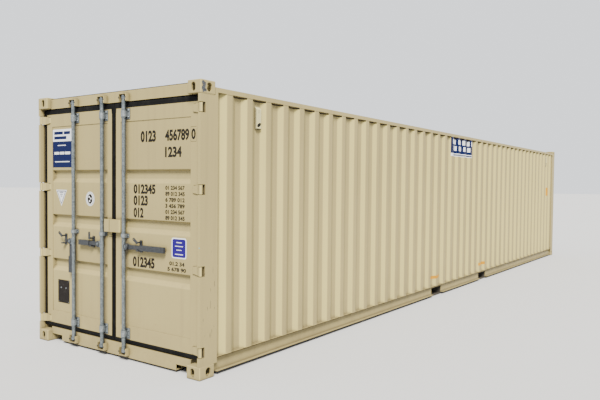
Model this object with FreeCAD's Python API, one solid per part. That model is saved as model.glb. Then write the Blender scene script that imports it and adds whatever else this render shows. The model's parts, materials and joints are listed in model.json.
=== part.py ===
"""A forty foot general purpose shipping container, as separate steel pieces, in millimetres.

X runs across the container, Y along it with the door end at -Y, and Z up from the underside of the
bottom corner fittings. Depths at the door end are given as "n", the distance inwards from the plane
of the corner fittings' end faces.
"""
import FreeCAD, Part
import math
import os

Vector = FreeCAD.Vector

# Overall sizes
LENGTH = 12192.0
WIDTH = 2438.0
HEIGHT = 2591.0

# Clearances
MOVE_GAP = 5.0          # between a moving piece and what it passes
PIN_GAP = 0.5           # round a pin that something turns on
PRESS_GAP = 0.05        # round a pin that stays put
STRIP_GAP = 0.3         # between the rubber strips at their corners

# Corner fittings
FITTING_LENGTH = 178.0
FITTING_WIDTH = 162.0
FITTING_HEIGHT = 118.0
FITTING_PLATE = 28.0
FITTING_WALL = 16.0
FITTING_ROUND = 9.0
SLOT_LENGTH = 124.0
SLOT_WIDTH = 63.5
SLOT_FROM_END = 103.5
SLOT_FROM_SIDE = 89.5
SIDE_HOLE_WIDTH = 63.5
END_HOLE_WIDTH = 51.0
HOLE_HEIGHT = 79.5

# Posts
POST_INSET = 3.0        # behind the fittings' faces
POST_WALL = 6.0
DOOR_POST_PAST = 35.0   # how far the posts reach past their fittings along the container
FRONT_POST_PAST = 20.0
STRIP_WIDTH = 31.0      # the post's solid front bar, which carries the hinge pins
STRIP_DEPTH = 43.0
NOTCH_N = 60.0          # how deep the hinge notches are cut
JAMB_WIDTH = 66.0
JAMB_N = 118.0
FRONT_POST_WIDTH = 120.0

# End frames
HEADER_N = 50.0
HEADER_DEPTH = 66.0
HEADER_BELOW_TOP = 11.0
SILL_BOTTOM = 25.0
SILL_TOP = 152.0
SILL_DEPTH = 76.0
BEAM_WALL = 5.0
NOTCH_WIDTH = 185.0
NOTCH_TOP = 80.0

# Base
RAIL_BOTTOM = 35.0
RAIL_FLANGE = 38.0
RAIL_WALL = 5.0
CROSS_BOTTOM = 17.0
CROSS_HEIGHT = 122.0
CROSS_FLANGE = 45.0
CROSS_WALL = 4.0
CROSS_PITCH = 300.0
FLOOR_THICK = 28.0
FLOOR_GAP = 2.0
POCKET_SPACING = 2050.0
POCKET_WIDTH = 360.0
POCKET_HEIGHT = 115.0
POCKET_PLATE = 4.0
TUNNEL_LENGTH = 3300.0
TUNNEL_WIDTH = 1030.0
TUNNEL_WALL = 6.0

# Walls and roof
TOP_RAIL_WIDTH = 60.0
TOP_RAIL_HEIGHT = 42.0
TOP_RAIL_BELOW_TOP = 49.0
TOP_RAIL_WALL = 4.0
SHEET = 2.0
WALL_PITCH = 273.3
WALL_FLAT = 70.0
WALL_SLOPE = 68.0
WALL_DEPTH = 36.0
FRONT_PITCH = 250.0
FRONT_FLAT = 80.0
FRONT_SLOPE = 30.0
FRONT_DEPTH = 40.0
ROOF_PITCH = 209.0
ROOF_FLAT = 91.0
ROOF_SLOPE = 13.5
ROOF_DEPTH = 20.0
ROOF_OVERLAP = 50.0
END_FLAT = 30.0         # the least flat left beside the last wave of a sheet
VENT_WIDTH = 92.0
VENT_HEIGHT = 210.0
VENT_DEPTH = 24.0
VENT_BELOW_RAIL = 62.0

# Door leaves
LEAF_EDGE = 69.0        # from the container's side to the leaf's hinge edge
LEAF_BOTTOM = 190.0
LEAF_BELOW_TOP = 166.0
LEAF_N = 54.0
LEAF_THICK = 50.0
SEAM_X = -11.0
SEAM_GAP = 40.0
HINGE_STILE = 105.0
LOCK_STILE = 80.0
CROSS_RAIL = 140.0
LEAF_WALL = 4.0
PANEL_SET_BACK = 5.0
GROOVE_COUNT = 3
GROOVE_PITCH = 467.0
GROOVE_DEPTH = 32.0
GROOVE_TOP_SLOPE = 12.0
GROOVE_FLAT = 73.0
GROOVE_LOW_SLOPE = 40.0
GROOVE_DROP = 11.0      # the middle groove's centre lies this far under the panel's centre
GASKET_SET_BACK = 6.0
GASKET_THICK = 51.0
GASKET_REACH = 38.0
SEAM_CLEAR = 8.0

# Hinges
HINGE_FROM_SIDE = 20.0
HINGE_N = 22.0
HINGE_COUNT = 4
HINGE_FROM_EDGE = 50.0  # the end hinges' centres from the leaf's top edge
HINGE_RISE = 70.0       # and from its bottom edge
HINGE_HEIGHT = 80.0
KNUCKLE_R = 17.0
HINGE_PIN_R = 8.0
HINGE_PIN_GRIP = 22.0
BLADE_REACH = 80.0      # over the leaf's face
BLADE_THICK = 10.0
BLADE_TAPER = 12.0

# Lock rods
ROD_N = 26.0
ROD_R = 18.0
OUTER_ROD_FROM_EDGE = 520.0
LEFT_ROD_FROM_SEAM = 131.0
RIGHT_ROD_FROM_SEAM = 161.0
ROD_OVER_SILL = 76.0
ROD_UNDER_TOP = 61.0
CAM_BOSS_R = 20.0
CAM_REACH = 38.0
CAM_THICK = 24.0
CAM_NOSE_R = 10.0
KEEPER_BESIDE = 46.0
KEEPER_THICK = 12.0
KEEPER_HEIGHT = 64.0
KEEPER_FRONT_N = 6.0
KEEPER_COVER = 6.0
BRACKET_R = 25.0
BRACKET_PLATE = 6.0
BRACKET_LEFT = 24.0
BRACKET_RIGHT = 62.0
BRACKET_HEIGHT = 100.0
BRACKET_RING = 60.0
GUIDE_HEIGHT = 38.0
GUIDE_RIGHT = 46.0
GUIDE_BELOW_MID = 110.0

# Handles
PIVOT_BELOW_MID = 212.0
GRIP_BESIDE_ROD = 1.0   # between a hanging handle's grip and its rod
HUB_R = 30.0
HUB_PLATE = 6.0
HUB_PIN_R = 8.0
HUB_WEB_PAST = 4.0      # how far the web between the hub plates stands past the rod
EYE_R = 20.0
EYE_GAP = 1.0
HANDLE_BAR = 12.0
HANDLE_HEIGHT = 40.0
LEFT_HANDLE_LENGTH = 325.0
RIGHT_HANDLE_LENGTH = 525.0
GRIP_PAST_CATCH = 26.0
GRIP_HEIGHT = 52.0
GRIP_DEPTH = 24.0
GRIP_WALL = 5.0

# Handle catches
LEFT_CATCH_REACH = 130.0     # from the handle's pivot
RIGHT_CATCH_REACH = 170.0
CATCH_WIDTH = 36.0
CATCH_PLATE = 5.0
CATCH_FOOT = 12.0
CATCH_SEAT = 1.0
LEDGE_FRONT_N = 10.0
FLAP_PIN_RISE = 50.0    # over the handle's pivot
FLAP_PIN_R = 6.0
FLAP_BOSS_R = 8.0
FLAP_N = 3.0
FLAP_THICK = 5.0
FLAP_HALF = 14.0
FLAP_LENGTH = 52.0
FLAP_EYE_R = 6.0

# Lock box and data plate
BOX_BELOW_MID = 82.0
BOX_HEIGHT = 120.0
BOX_LEFT = 87.0         # over the left leaf
BOX_RIGHT = 119.0       # over the right leaf
BOX_FRONT_N = 8.0
BOX_WALL = 4.0
BOX_ROUND = 22.0
PLATE_FROM_STILE = 95.0
PLATE_ABOVE_RAIL = 100.0
PLATE_WIDTH = 195.0
PLATE_HEIGHT = 240.0
PLATE_THICK = 3.0

# Places worked out from the sizes
SIDE = WIDTH / 2
DOOR_END = -LENGTH / 2
FRONT_END = LENGTH / 2
POST_BOTTOM = FITTING_HEIGHT
POST_TOP = HEIGHT - FITTING_HEIGHT
POST_SIDE = SIDE - POST_INSET
BEAM_END = SIDE - FITTING_WIDTH
DOOR_POST_BACK = DOOR_END + FITTING_LENGTH + DOOR_POST_PAST
FRONT_POST_BACK = FRONT_END - FITTING_LENGTH - FRONT_POST_PAST
FRONT_POST_INNER = POST_SIDE - FRONT_POST_WIDTH
FLOOR_BOTTOM = CROSS_BOTTOM + CROSS_HEIGHT
FLOOR_TOP = FLOOR_BOTTOM + FLOOR_THICK
RAIL_WEB = POST_SIDE - RAIL_FLANGE
TOP_RAIL_TOP = HEIGHT - TOP_RAIL_BELOW_TOP
TOP_RAIL_BOTTOM = TOP_RAIL_TOP - TOP_RAIL_HEIGHT
LEAF_OUTER = SIDE - LEAF_EDGE
LEAF_TOP = HEIGHT - LEAF_BELOW_TOP
LEFT_SEAM_EDGE = SEAM_X - SEAM_GAP / 2
RIGHT_SEAM_EDGE = SEAM_X + SEAM_GAP / 2
PANEL_BOTTOM = LEAF_BOTTOM + CROSS_RAIL
PANEL_TOP = LEAF_TOP - CROSS_RAIL
PANEL_MID = (PANEL_BOTTOM + PANEL_TOP) / 2
PANEL_N = LEAF_N + PANEL_SET_BACK
HINGE_X = SIDE - HINGE_FROM_SIDE
PIVOT_Z = PANEL_MID - PIVOT_BELOW_MID
PIVOT_OFFSET = ROD_R + GRIP_BESIDE_ROD + GRIP_HEIGHT / 2
TOP_CAM_Z = POST_TOP + KEEPER_HEIGHT / 2 + 1
BOTTOM_CAM_Z = (SILL_BOTTOM + SILL_TOP) / 2
TUNNEL_REAR = FRONT_END - TUNNEL_LENGTH

# name, side of the container that its leaf is on, place across, and side its handle points to
RODS = [
    ("left_outer", -1, -LEAF_OUTER + OUTER_ROD_FROM_EDGE, -1),
    ("left_inner", -1, LEFT_SEAM_EDGE - LEFT_ROD_FROM_SEAM, -1),
    ("right", 1, RIGHT_SEAM_EDGE + RIGHT_ROD_FROM_SEAM, 1),
]
FLAP_TILT = {"left_outer": 55.0, "left_inner": 0.0, "right": 55.0}
SIDES = [("left", -1), ("right", 1)]


def at(n):
    """The Y of a depth n inwards from the door end."""
    return DOOR_END + n


def box(xs, ys, zs):
    """A box between two limits on each axis, given in either order."""
    low = Vector(min(xs), min(ys), min(zs))
    return Part.makeBox(abs(xs[1] - xs[0]), abs(ys[1] - ys[0]), abs(zs[1] - zs[0]), low)


def upright(radius, x, y, zs):
    """A vertical cylinder."""
    return Part.makeCylinder(radius, zs[1] - zs[0], Vector(x, y, zs[0]), Vector(0, 0, 1))


def crosswise(radius, x, z, ns):
    """A cylinder along Y at the door end, between two depths."""
    return Part.makeCylinder(radius, ns[1] - ns[0], Vector(x, at(ns[0]), z), Vector(0, 1, 0))


def extrude(points, direction):
    """A closed outline of points, swept along one direction."""
    return Part.Face(Part.makePolygon(points + points[:1])).extrude(direction)


def plan(outline, zs):
    """An outline of (x, y) points, swept up between two heights."""
    points = [Vector(x, y, zs[0]) for x, y in outline]
    return extrude(points, Vector(0, 0, zs[1] - zs[0]))


def across(outline, xs):
    """An outline of (y, z) points, swept along X between two places."""
    points = [Vector(xs[0], y, z) for y, z in outline]
    return extrude(points, Vector(xs[1] - xs[0], 0, 0))


def fuse(shapes):
    """One solid from pieces that are welded together."""
    return shapes[0].multiFuse(shapes[1:]).removeSplitter()


def slot(length, width, centre, along, through, reach):
    """A round-ended slot's cutter, centred on a point and cut both ways along `through`."""
    start = centre - through * reach
    half = (length - width) / 2
    cutters = [Part.makeCylinder(width / 2, 2 * reach, start + along * s, through) for s in (-half, half)]
    wide = through.cross(along) * (width / 2)
    corners = [along * -half - wide, along * half - wide, along * half + wide, along * -half + wide]
    cutters.append(extrude([start + corner for corner in corners], through * (2 * reach)))
    return fuse(cutters)


def save(name, solids):
    """Write one sub-part's solids to its own file."""
    shape = solids[0] if len(solids) == 1 else Part.makeCompound(solids)
    shape.exportStep("parts/" + name + ".step")


def corner_fitting(side, end, top):
    """A hollow cast fitting with a slot in its outer plate and a hole in each outer side."""
    outer_z = HEIGHT if top else 0.0
    inward = -1 if top else 1
    xs = (side * SIDE, side * (SIDE - FITTING_WIDTH))
    ys = (end * LENGTH / 2, end * (LENGTH / 2 - FITTING_LENGTH))
    zs = (outer_z, outer_z + inward * FITTING_HEIGHT)
    block = box(xs, ys, zs)
    block = block.makeFillet(FITTING_ROUND, block.Edges)
    hollow = box(
        (xs[0] - side * FITTING_WALL, xs[1] + side * FITTING_WALL),
        (ys[0] - end * FITTING_WALL, ys[1] + end * FITTING_WALL),
        (zs[0] + inward * FITTING_PLATE, zs[1] - inward * FITTING_WALL),
    )
    slot_x = side * (SIDE - SLOT_FROM_SIDE)
    slot_y = end * (LENGTH / 2 - SLOT_FROM_END)
    middle_z = (zs[0] + zs[1]) / 2
    plate_hole = slot(SLOT_LENGTH, SLOT_WIDTH, Vector(slot_x, slot_y, outer_z),
                      Vector(0, 1, 0), Vector(0, 0, 1), FITTING_PLATE + 1)
    side_hole = slot(HOLE_HEIGHT, SIDE_HOLE_WIDTH, Vector(xs[0], slot_y, middle_z),
                     Vector(0, 0, 1), Vector(1, 0, 0), FITTING_WALL + 1)
    end_hole = slot(HOLE_HEIGHT, END_HOLE_WIDTH, Vector(slot_x, ys[0], middle_z),
                    Vector(0, 0, 1), Vector(0, 1, 0), FITTING_WALL + 1)
    return block.cut([hollow, plate_hole, side_hole, end_hole])


def hinge_heights():
    """The centres of one leaf's hinges, evenly spaced."""
    first = LEAF_BOTTOM + HINGE_FROM_EDGE
    last = LEAF_TOP - HINGE_RISE
    return [first + (last - first) * i / (HINGE_COUNT - 1) for i in range(HINGE_COUNT)]


def rail_block(side, ys):
    """The block on a post, beside its fitting, that the top rail lies on."""
    return box((side * (POST_SIDE - TOP_RAIL_WIDTH), side * POST_SIDE), ys, (POST_TOP - POST_WALL, TOP_RAIL_BOTTOM))


def door_post(side):
    """A hollow post with a solid front bar, notched and bored where the leaf's hinges turn."""
    front = at(POST_INSET)
    bar_back = front + STRIP_DEPTH
    jamb = at(JAMB_N)
    wall = POST_WALL
    inner = POST_SIDE - JAMB_WIDTH
    strip = POST_SIDE - STRIP_WIDTH
    web = LEAF_OUTER + GASKET_REACH + MOVE_GAP
    outline = [(POST_SIDE, front), (POST_SIDE, DOOR_POST_BACK), (inner, DOOR_POST_BACK), (inner, jamb),
               (web, jamb), (web, bar_back), (strip, bar_back), (strip, front)]
    notch_back = at(NOTCH_N)
    void = [(POST_SIDE - wall, notch_back + wall), (POST_SIDE - wall, DOOR_POST_BACK - wall),
            (inner + wall, DOOR_POST_BACK - wall), (inner + wall, jamb + wall),
            (web + wall, jamb + wall), (web + wall, notch_back + wall)]
    height = (POST_BOTTOM, POST_TOP)
    post = plan([(side * x, y) for x, y in outline], height)
    post = fuse([post, rail_block(side, (DOOR_END + FITTING_LENGTH, DOOR_POST_BACK))])
    cutters = [plan([(side * x, y) for x, y in void], (POST_BOTTOM - 1, POST_TOP - wall))]
    for z in hinge_heights():
        half = HINGE_HEIGHT / 2 + MOVE_GAP
        cutters.append(box((side * (strip - 1), side * (SIDE + 1)), (front - 1, notch_back), (z - half, z + half)))
        reach = half + HINGE_PIN_GRIP
        cutters.append(upright(HINGE_PIN_R + PRESS_GAP, side * HINGE_X, at(HINGE_N), (z - reach, z + reach)))
    return post.cut(cutters)


def hinge_pins():
    """The pins, held in the door posts above and below each hinge."""
    reach = HINGE_HEIGHT / 2 + MOVE_GAP + HINGE_PIN_GRIP
    return [upright(HINGE_PIN_R, side * HINGE_X, at(HINGE_N), (z - reach, z + reach))
            for _, side in SIDES for z in hinge_heights()]


def front_post(side):
    """A rectangular hollow post at the closed end."""
    xs = (side * FRONT_POST_INNER, side * POST_SIDE)
    ys = (FRONT_POST_BACK, FRONT_END - POST_INSET)
    height = (POST_BOTTOM, POST_TOP)
    wall = POST_WALL
    void = box((xs[0] + side * wall, xs[1] - side * wall), (ys[0] + wall, ys[1] - wall),
               (POST_BOTTOM - 1, POST_TOP - wall))
    block = rail_block(side, (FRONT_POST_BACK, FRONT_END - FITTING_LENGTH))
    return fuse([box(xs, ys, height), block]).cut(void)


def beam(ys, zs):
    """A hollow rectangular beam between two corner fittings, open at its ends."""
    outer = box((-BEAM_END, BEAM_END), ys, zs)
    wall = BEAM_WALL
    void = box((-BEAM_END - 1, BEAM_END + 1), (min(ys) + wall, max(ys) - wall), (zs[0] + wall, zs[1] - wall))
    return outer.cut(void)


def door_sill():
    """The sill, notched beside both fittings, with an upstand that meets the floor."""
    back = at(HEADER_N) + SILL_DEPTH
    sill = beam((at(HEADER_N), back), (SILL_BOTTOM, SILL_TOP))
    reach = POST_SIDE - JAMB_WIDTH - FLOOR_GAP
    upstand = box((-reach, reach), (back - RAIL_WALL, back), (SILL_TOP - BEAM_WALL, FLOOR_TOP))
    notches = [box((side * (BEAM_END - NOTCH_WIDTH), side * (BEAM_END + 1)), (at(HEADER_N) - 1, back + 1),
                   (SILL_BOTTOM - 1, NOTCH_TOP)) for _, side in SIDES]
    return fuse([sill, upstand]).cut(notches)


def front_sill():
    """The closed end's sill: a length of beam each side and a shallow bridge over the tunnel's mouth."""
    outer = FRONT_END - POST_INSET
    sill = beam((outer - SILL_DEPTH, outer), (SILL_BOTTOM, FLOOR_TOP))
    half = TUNNEL_WIDTH / 2
    ys = (outer - SILL_DEPTH - 1, outer + 1)
    lengths = [box((side * half, side * (BEAM_END + 1)), ys, (SILL_BOTTOM - 1, FLOOR_TOP + 1)) for _, side in SIDES]
    bridge = box((-half, half), ys, (FLOOR_BOTTOM - TUNNEL_WALL, FLOOR_TOP + 1))
    return [sill.common(piece) for piece in lengths + [bridge]]


def pocket_places():
    """The centres of the two fork pockets along the container."""
    return (-POCKET_SPACING / 2, POCKET_SPACING / 2)


def bottom_rail(side):
    """Three lengths of channel with their flanges outwards, and a shallow angle over each fork pocket."""
    half = POCKET_WIDTH / 2
    gates = [y + edge for y in pocket_places() for edge in (-half, half)]
    stops = [DOOR_POST_BACK] + gates + [FRONT_POST_BACK]
    lengths = []
    for index, ys in enumerate(zip(stops, stops[1:])):
        over_pocket = index % 2 == 1
        low = FLOOR_BOTTOM - POCKET_PLATE if over_pocket else RAIL_BOTTOM
        flanges = [FLOOR_TOP - RAIL_WALL] if over_pocket else [RAIL_BOTTOM, FLOOR_TOP - RAIL_WALL]
        pieces = [box((side * (RAIL_WEB - RAIL_WALL), side * RAIL_WEB), ys, (low, FLOOR_TOP))]
        pieces += [box((side * RAIL_WEB, side * POST_SIDE), ys, (z, z + RAIL_WALL)) for z in flanges]
        lengths.append(fuse(pieces))
    return lengths


def fork_pocket(y):
    """The four plates of a tunnel from rail to rail, which a fork passes through."""
    xs = (-(RAIL_WEB - RAIL_WALL), RAIL_WEB - RAIL_WALL)
    half = POCKET_WIDTH / 2
    top = FLOOR_BOTTOM - POCKET_PLATE
    low = top - POCKET_HEIGHT
    plates = [box(xs, (y + edge * half, y + edge * (half + POCKET_PLATE)), (low, top)) for edge in (-1, 1)]
    wide = (y - half - POCKET_PLATE, y + half + POCKET_PLATE)
    return plates + [box(xs, wide, (low - POCKET_PLATE, low)), box(xs, wide, (top, FLOOR_BOTTOM))]


def cross_member(y, xs):
    """A channel under the floor, its web at the lower Y."""
    top = FLOOR_BOTTOM
    wall = CROSS_WALL
    outline = [(y, CROSS_BOTTOM), (y + CROSS_FLANGE, CROSS_BOTTOM), (y + CROSS_FLANGE, CROSS_BOTTOM + wall),
               (y + wall, CROSS_BOTTOM + wall), (y + wall, top - wall), (y + CROSS_FLANGE, top - wall),
               (y + CROSS_FLANGE, top), (y, top)]
    return across(outline, xs)


def cross_members():
    """Channels from rail to rail, left out at the fork pockets and parted at the tunnel."""
    reach = RAIL_WEB - RAIL_WALL
    start = DOOR_POST_BACK + CROSS_FLANGE
    end = FRONT_POST_BACK - CROSS_FLANGE
    count = int((end - start - CROSS_FLANGE) / CROSS_PITCH)
    members = []
    for i in range(count + 1):
        y = start + i * (end - start - CROSS_FLANGE) / count
        room = POCKET_WIDTH / 2 + POCKET_PLATE + MOVE_GAP
        if any(y + CROSS_FLANGE > p - room and y < p + room for p in pocket_places()):
            continue
        if y + CROSS_FLANGE > TUNNEL_REAR:
            inner = TUNNEL_WIDTH / 2 + TUNNEL_WALL
            members += [cross_member(y, (side * inner, side * reach)) for _, side in SIDES]
        else:
            members.append(cross_member(y, (-reach, reach)))
    return members


def gooseneck_tunnel():
    """The four plates of a trough under the closed end's floor, open below and at the front."""
    half = TUNNEL_WIDTH / 2
    wall = TUNNEL_WALL
    ys = (TUNNEL_REAR, FRONT_END - POST_INSET - SILL_DEPTH)
    top = FLOOR_BOTTOM - wall
    plates = [box((side * half, side * (half + wall)), ys, (CROSS_BOTTOM, top)) for _, side in SIDES]
    plates.append(box((-half, half), (ys[0], ys[0] + wall), (CROSS_BOTTOM, top)))
    return plates + [box((-half - wall, half + wall), ys, (top, FLOOR_BOTTOM))]


def floor():
    """The plywood deck, stepped in round the corner posts."""
    reach = RAIL_WEB - RAIL_WALL
    rear = at(HEADER_N) + SILL_DEPTH
    front = FRONT_END - POST_INSET - SILL_DEPTH
    rear_reach = POST_SIDE - JAMB_WIDTH - FLOOR_GAP
    front_reach = FRONT_POST_INNER - FLOOR_GAP
    gap = FLOOR_GAP
    corners = [(rear_reach, rear), (rear_reach, DOOR_POST_BACK + gap), (reach, DOOR_POST_BACK + gap),
               (reach, FRONT_POST_BACK - gap), (front_reach, FRONT_POST_BACK - gap), (front_reach, front)]
    outline = corners + [(-x, y) for x, y in reversed(corners)]
    return plan(outline, (FLOOR_BOTTOM, FLOOR_TOP))


def top_rail(side):
    """A hollow rail along the top of a side wall."""
    xs = (side * (POST_SIDE - TOP_RAIL_WIDTH), side * POST_SIDE)
    ys = (DOOR_END + FITTING_LENGTH, FRONT_END - FITTING_LENGTH)
    zs = (TOP_RAIL_BOTTOM, TOP_RAIL_TOP)
    wall = TOP_RAIL_WALL
    void = box((xs[0] + side * wall, xs[1] - side * wall), (ys[0] - 1, ys[1] + 1), (zs[0] + wall, zs[1] - wall))
    return box(xs, ys, zs).cut(void)


def wave(start, end, pitch, flat, slope, depth):
    """Corner points (place, rise) of whole trapezoid waves between two places, low at both ends."""
    count = int((end - start - 2 * END_FLAT + flat) / pitch)
    first = start + (end - start - count * pitch) / 2
    crest = pitch - flat - 2 * slope
    points = [(start, 0.0)]
    for i in range(count):
        foot = first + i * pitch + flat / 2
        points += [(foot, 0.0), (foot + slope, depth), (foot + slope + crest, depth), (foot + 2 * slope + crest, 0.0)]
    return points + [(end, 0.0)]


def side_wall(side):
    """A corrugated sheet from the bottom rail to the top rail."""
    waves = wave(DOOR_POST_BACK, FRONT_POST_BACK, WALL_PITCH, WALL_FLAT, WALL_SLOPE, WALL_DEPTH)
    low = POST_SIDE - WALL_DEPTH
    outer = [(side * (low + rise), y) for y, rise in waves]
    inner = [(x - side * SHEET, y) for x, y in reversed(outer)]
    return plan(outer + inner, (FLOOR_TOP, TOP_RAIL_BOTTOM))


def front_wall():
    """A corrugated sheet that closes the front end."""
    waves = wave(-FRONT_POST_INNER, FRONT_POST_INNER, FRONT_PITCH, FRONT_FLAT, FRONT_SLOPE, FRONT_DEPTH)
    low = FRONT_END - POST_INSET - FRONT_DEPTH
    outer = [(x, low + rise) for x, rise in waves]
    inner = [(x, y - SHEET) for x, y in reversed(outer)]
    return plan(outer + inner, (FLOOR_TOP, POST_TOP))


def roof():
    """Swaged sheets laid on the top rails: a long one, and a narrow one between the fittings at each end."""
    start = at(HEADER_N) + HEADER_DEPTH
    end = FRONT_END - POST_INSET - HEADER_DEPTH
    waves = wave(start, end, ROOF_PITCH, ROOF_FLAT, ROOF_SLOPE, ROOF_DEPTH)
    lower = [(y, TOP_RAIL_TOP + rise) for y, rise in waves]
    upper = [(y, z + SHEET) for y, z in reversed(lower)]
    reach = POST_SIDE - TOP_RAIL_WIDTH + ROOF_OVERLAP
    sheet = across(lower + upper, (-reach, reach))
    stops = (start, DOOR_END + FITTING_LENGTH, FRONT_END - FITTING_LENGTH, end)
    widths = (BEAM_END - 1, reach, BEAM_END - 1)
    return [sheet.common(box((-half, half), ys, (TOP_RAIL_BOTTOM, HEIGHT)))
            for half, ys in zip(widths, zip(stops, stops[1:]))]


def vent(side, end):
    """A hooded cover in a recess of a side wall, open along its lower edge."""
    waves = wave(DOOR_POST_BACK, FRONT_POST_BACK, WALL_PITCH, WALL_FLAT, WALL_SLOPE, WALL_DEPTH)
    recess = (waves[8][0] + waves[9][0]) / 2 if end < 0 else (waves[-10][0] + waves[-9][0]) / 2
    base = POST_SIDE - WALL_DEPTH
    face = base + VENT_DEPTH
    top = TOP_RAIL_BOTTOM - VENT_BELOW_RAIL
    low = top - VENT_HEIGHT
    half = WALL_FLAT / 2
    outline = [(base, low), (face, low), (face, top - VENT_DEPTH), (base, top)]
    points = [Vector(side * x, recess - half, z) for x, z in outline]
    hood = extrude(points, Vector(0, 2 * half, 0))
    wall = SHEET
    void = box((side * (base + wall), side * (face - wall)), (recess - half + wall, recess + half - wall),
               (low - 1, top - VENT_DEPTH - wall))
    return hood.cut(void)


def leaf_edges(side):
    """A leaf's edge at the seam and its edge at the hinges."""
    seam = RIGHT_SEAM_EDGE if side > 0 else LEFT_SEAM_EDGE
    return seam, side * LEAF_OUTER


def leaf_window(side):
    """The X limits of a leaf's panel."""
    seam, outer = leaf_edges(side)
    return seam + side * LOCK_STILE, outer - side * HINGE_STILE


def door_stiles(side):
    """A leaf's two hollow uprights."""
    seam, outer = leaf_edges(side)
    lock, hinge = leaf_window(side)
    wall = LEAF_WALL
    ys = (at(LEAF_N), at(LEAF_N) + LEAF_THICK)
    height = (LEAF_BOTTOM, LEAF_TOP)
    stiles = []
    for low, high in (sorted((seam, lock)), sorted((hinge, outer))):
        void = box((low + wall, high - wall), (ys[0] + wall, ys[1] - wall), (height[0] - 1, height[1] + 1))
        stiles.append(box((low, high), ys, height).cut(void))
    return stiles


def door_rails(side):
    """A leaf's top and bottom channels, open towards the cargo."""
    xs = leaf_window(side)
    wall = LEAF_WALL
    ys = (at(LEAF_N), at(LEAF_N) + LEAF_THICK)
    rails = []
    for low in (LEAF_BOTTOM, PANEL_TOP):
        void = box((xs[0] - side, xs[1] + side), (ys[0] + wall, ys[1] + 1), (low + wall, low + CROSS_RAIL - wall))
        rails.append(box(xs, ys, (low, low + CROSS_RAIL)).cut(void))
    return rails


def door_panel(side):
    """A leaf's pressed sheet, with level grooves across it."""
    face = at(PANEL_N)
    height = GROOVE_TOP_SLOPE + GROOVE_FLAT + GROOVE_LOW_SLOPE
    outer = [(face, PANEL_BOTTOM)]
    for i in range(GROOVE_COUNT):
        middle = PANEL_MID - GROOVE_DROP + (i - (GROOVE_COUNT - 1) / 2) * GROOVE_PITCH
        foot = middle - height / 2
        outer += [(face, foot), (face + GROOVE_DEPTH, foot + GROOVE_LOW_SLOPE),
                  (face + GROOVE_DEPTH, foot + GROOVE_LOW_SLOPE + GROOVE_FLAT), (face, foot + height)]
    outer.append((face, PANEL_TOP))
    inner = [(y + SHEET, z) for y, z in reversed(outer)]
    return across(outer + inner, leaf_window(side))


def door_gasket(side):
    """The rubber round a leaf: two upright strips and two level ones between them."""
    seam, outer = leaf_edges(side)
    seam_reach = side * (SEAM_GAP - SEAM_CLEAR) / 2
    ys = (at(LEAF_N + GASKET_SET_BACK), at(LEAF_N + GASKET_SET_BACK) + GASKET_THICK)
    bottom = SILL_TOP + MOVE_GAP
    top = POST_TOP - MOVE_GAP
    inset = side * STRIP_GAP
    level = (seam + inset, outer - inset)
    return [
        box((outer, outer + side * GASKET_REACH - inset), ys, (bottom, top)),
        box((seam - seam_reach, seam), ys, (bottom, top)),
        box(level, ys, (bottom, LEAF_BOTTOM)),
        box(level, ys, (LEAF_TOP, top)),
    ]


def hinge_blades(side):
    """Tapered blades on a leaf's face, each with a knuckle round its pin."""
    face = at(LEAF_N)
    hinge_y = at(HINGE_N)
    seam_end = LEAF_OUTER - BLADE_REACH
    outline = [(seam_end, face), (LEAF_OUTER, face), (HINGE_X, hinge_y + KNUCKLE_R),
               (HINGE_X, hinge_y), (HINGE_X - KNUCKLE_R, hinge_y), (LEAF_OUTER, face - BLADE_THICK),
               (seam_end + BLADE_TAPER, face - BLADE_THICK)]
    blades = []
    for z in hinge_heights():
        zs = (z - HINGE_HEIGHT / 2, z + HINGE_HEIGHT / 2)
        blade = fuse([plan([(side * x, y) for x, y in outline], zs), upright(KNUCKLE_R, side * HINGE_X, hinge_y, zs)])
        tapers = []
        for edge, inward in ((zs[0], 1), (zs[1], -1)):
            corners = [Vector(side * (seam_end - 1), face - 2 * BLADE_THICK, edge - inward),
                       Vector(side * LEAF_OUTER, face - 2 * BLADE_THICK, edge - inward),
                       Vector(side * (seam_end - 1), face - 2 * BLADE_THICK, edge + inward * BLADE_TAPER)]
            tapers.append(extrude(corners, Vector(0, 3 * BLADE_THICK, 0)))
        bore = upright(HINGE_PIN_R + PIN_GAP, side * HINGE_X, hinge_y, (zs[0] - 1, zs[1] + 1))
        blades.append(blade.cut(tapers + [bore]))
    return blades


def rod_bracket(x, z, seat_n, plate_right, plate_height, ring_height):
    """A plate bolted to a leaf with a ring that a lock rod turns in."""
    plate = box((x - BRACKET_LEFT, x + plate_right), (at(seat_n - BRACKET_PLATE), at(seat_n)),
                (z - plate_height / 2, z + plate_height / 2))
    zs = (z - ring_height / 2, z + ring_height / 2)
    neck = box((x - BRACKET_R, x + BRACKET_R), (at(ROD_N), at(seat_n - BRACKET_PLATE)), zs)
    ring = upright(BRACKET_R, x, at(ROD_N), zs)
    return fuse([plate, neck, ring]).cut(upright(ROD_R + PIN_GAP, x, at(ROD_N), (zs[0] - 1, zs[1] + 1)))


def rod_brackets(side):
    """The brackets on one leaf: two ends and a guide for each of its rods."""
    brackets = []
    for _, leaf, x, _ in RODS:
        if leaf == side:
            for z in (LEAF_BOTTOM + CROSS_RAIL / 2, LEAF_TOP - CROSS_RAIL / 2):
                brackets.append(rod_bracket(x, z, LEAF_N, BRACKET_RIGHT, BRACKET_HEIGHT, BRACKET_RING))
            guide_z = PANEL_MID - GUIDE_BELOW_MID
            brackets.append(rod_bracket(x, guide_z, PANEL_N, GUIDE_RIGHT, GUIDE_HEIGHT, GUIDE_HEIGHT))
    return brackets


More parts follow.
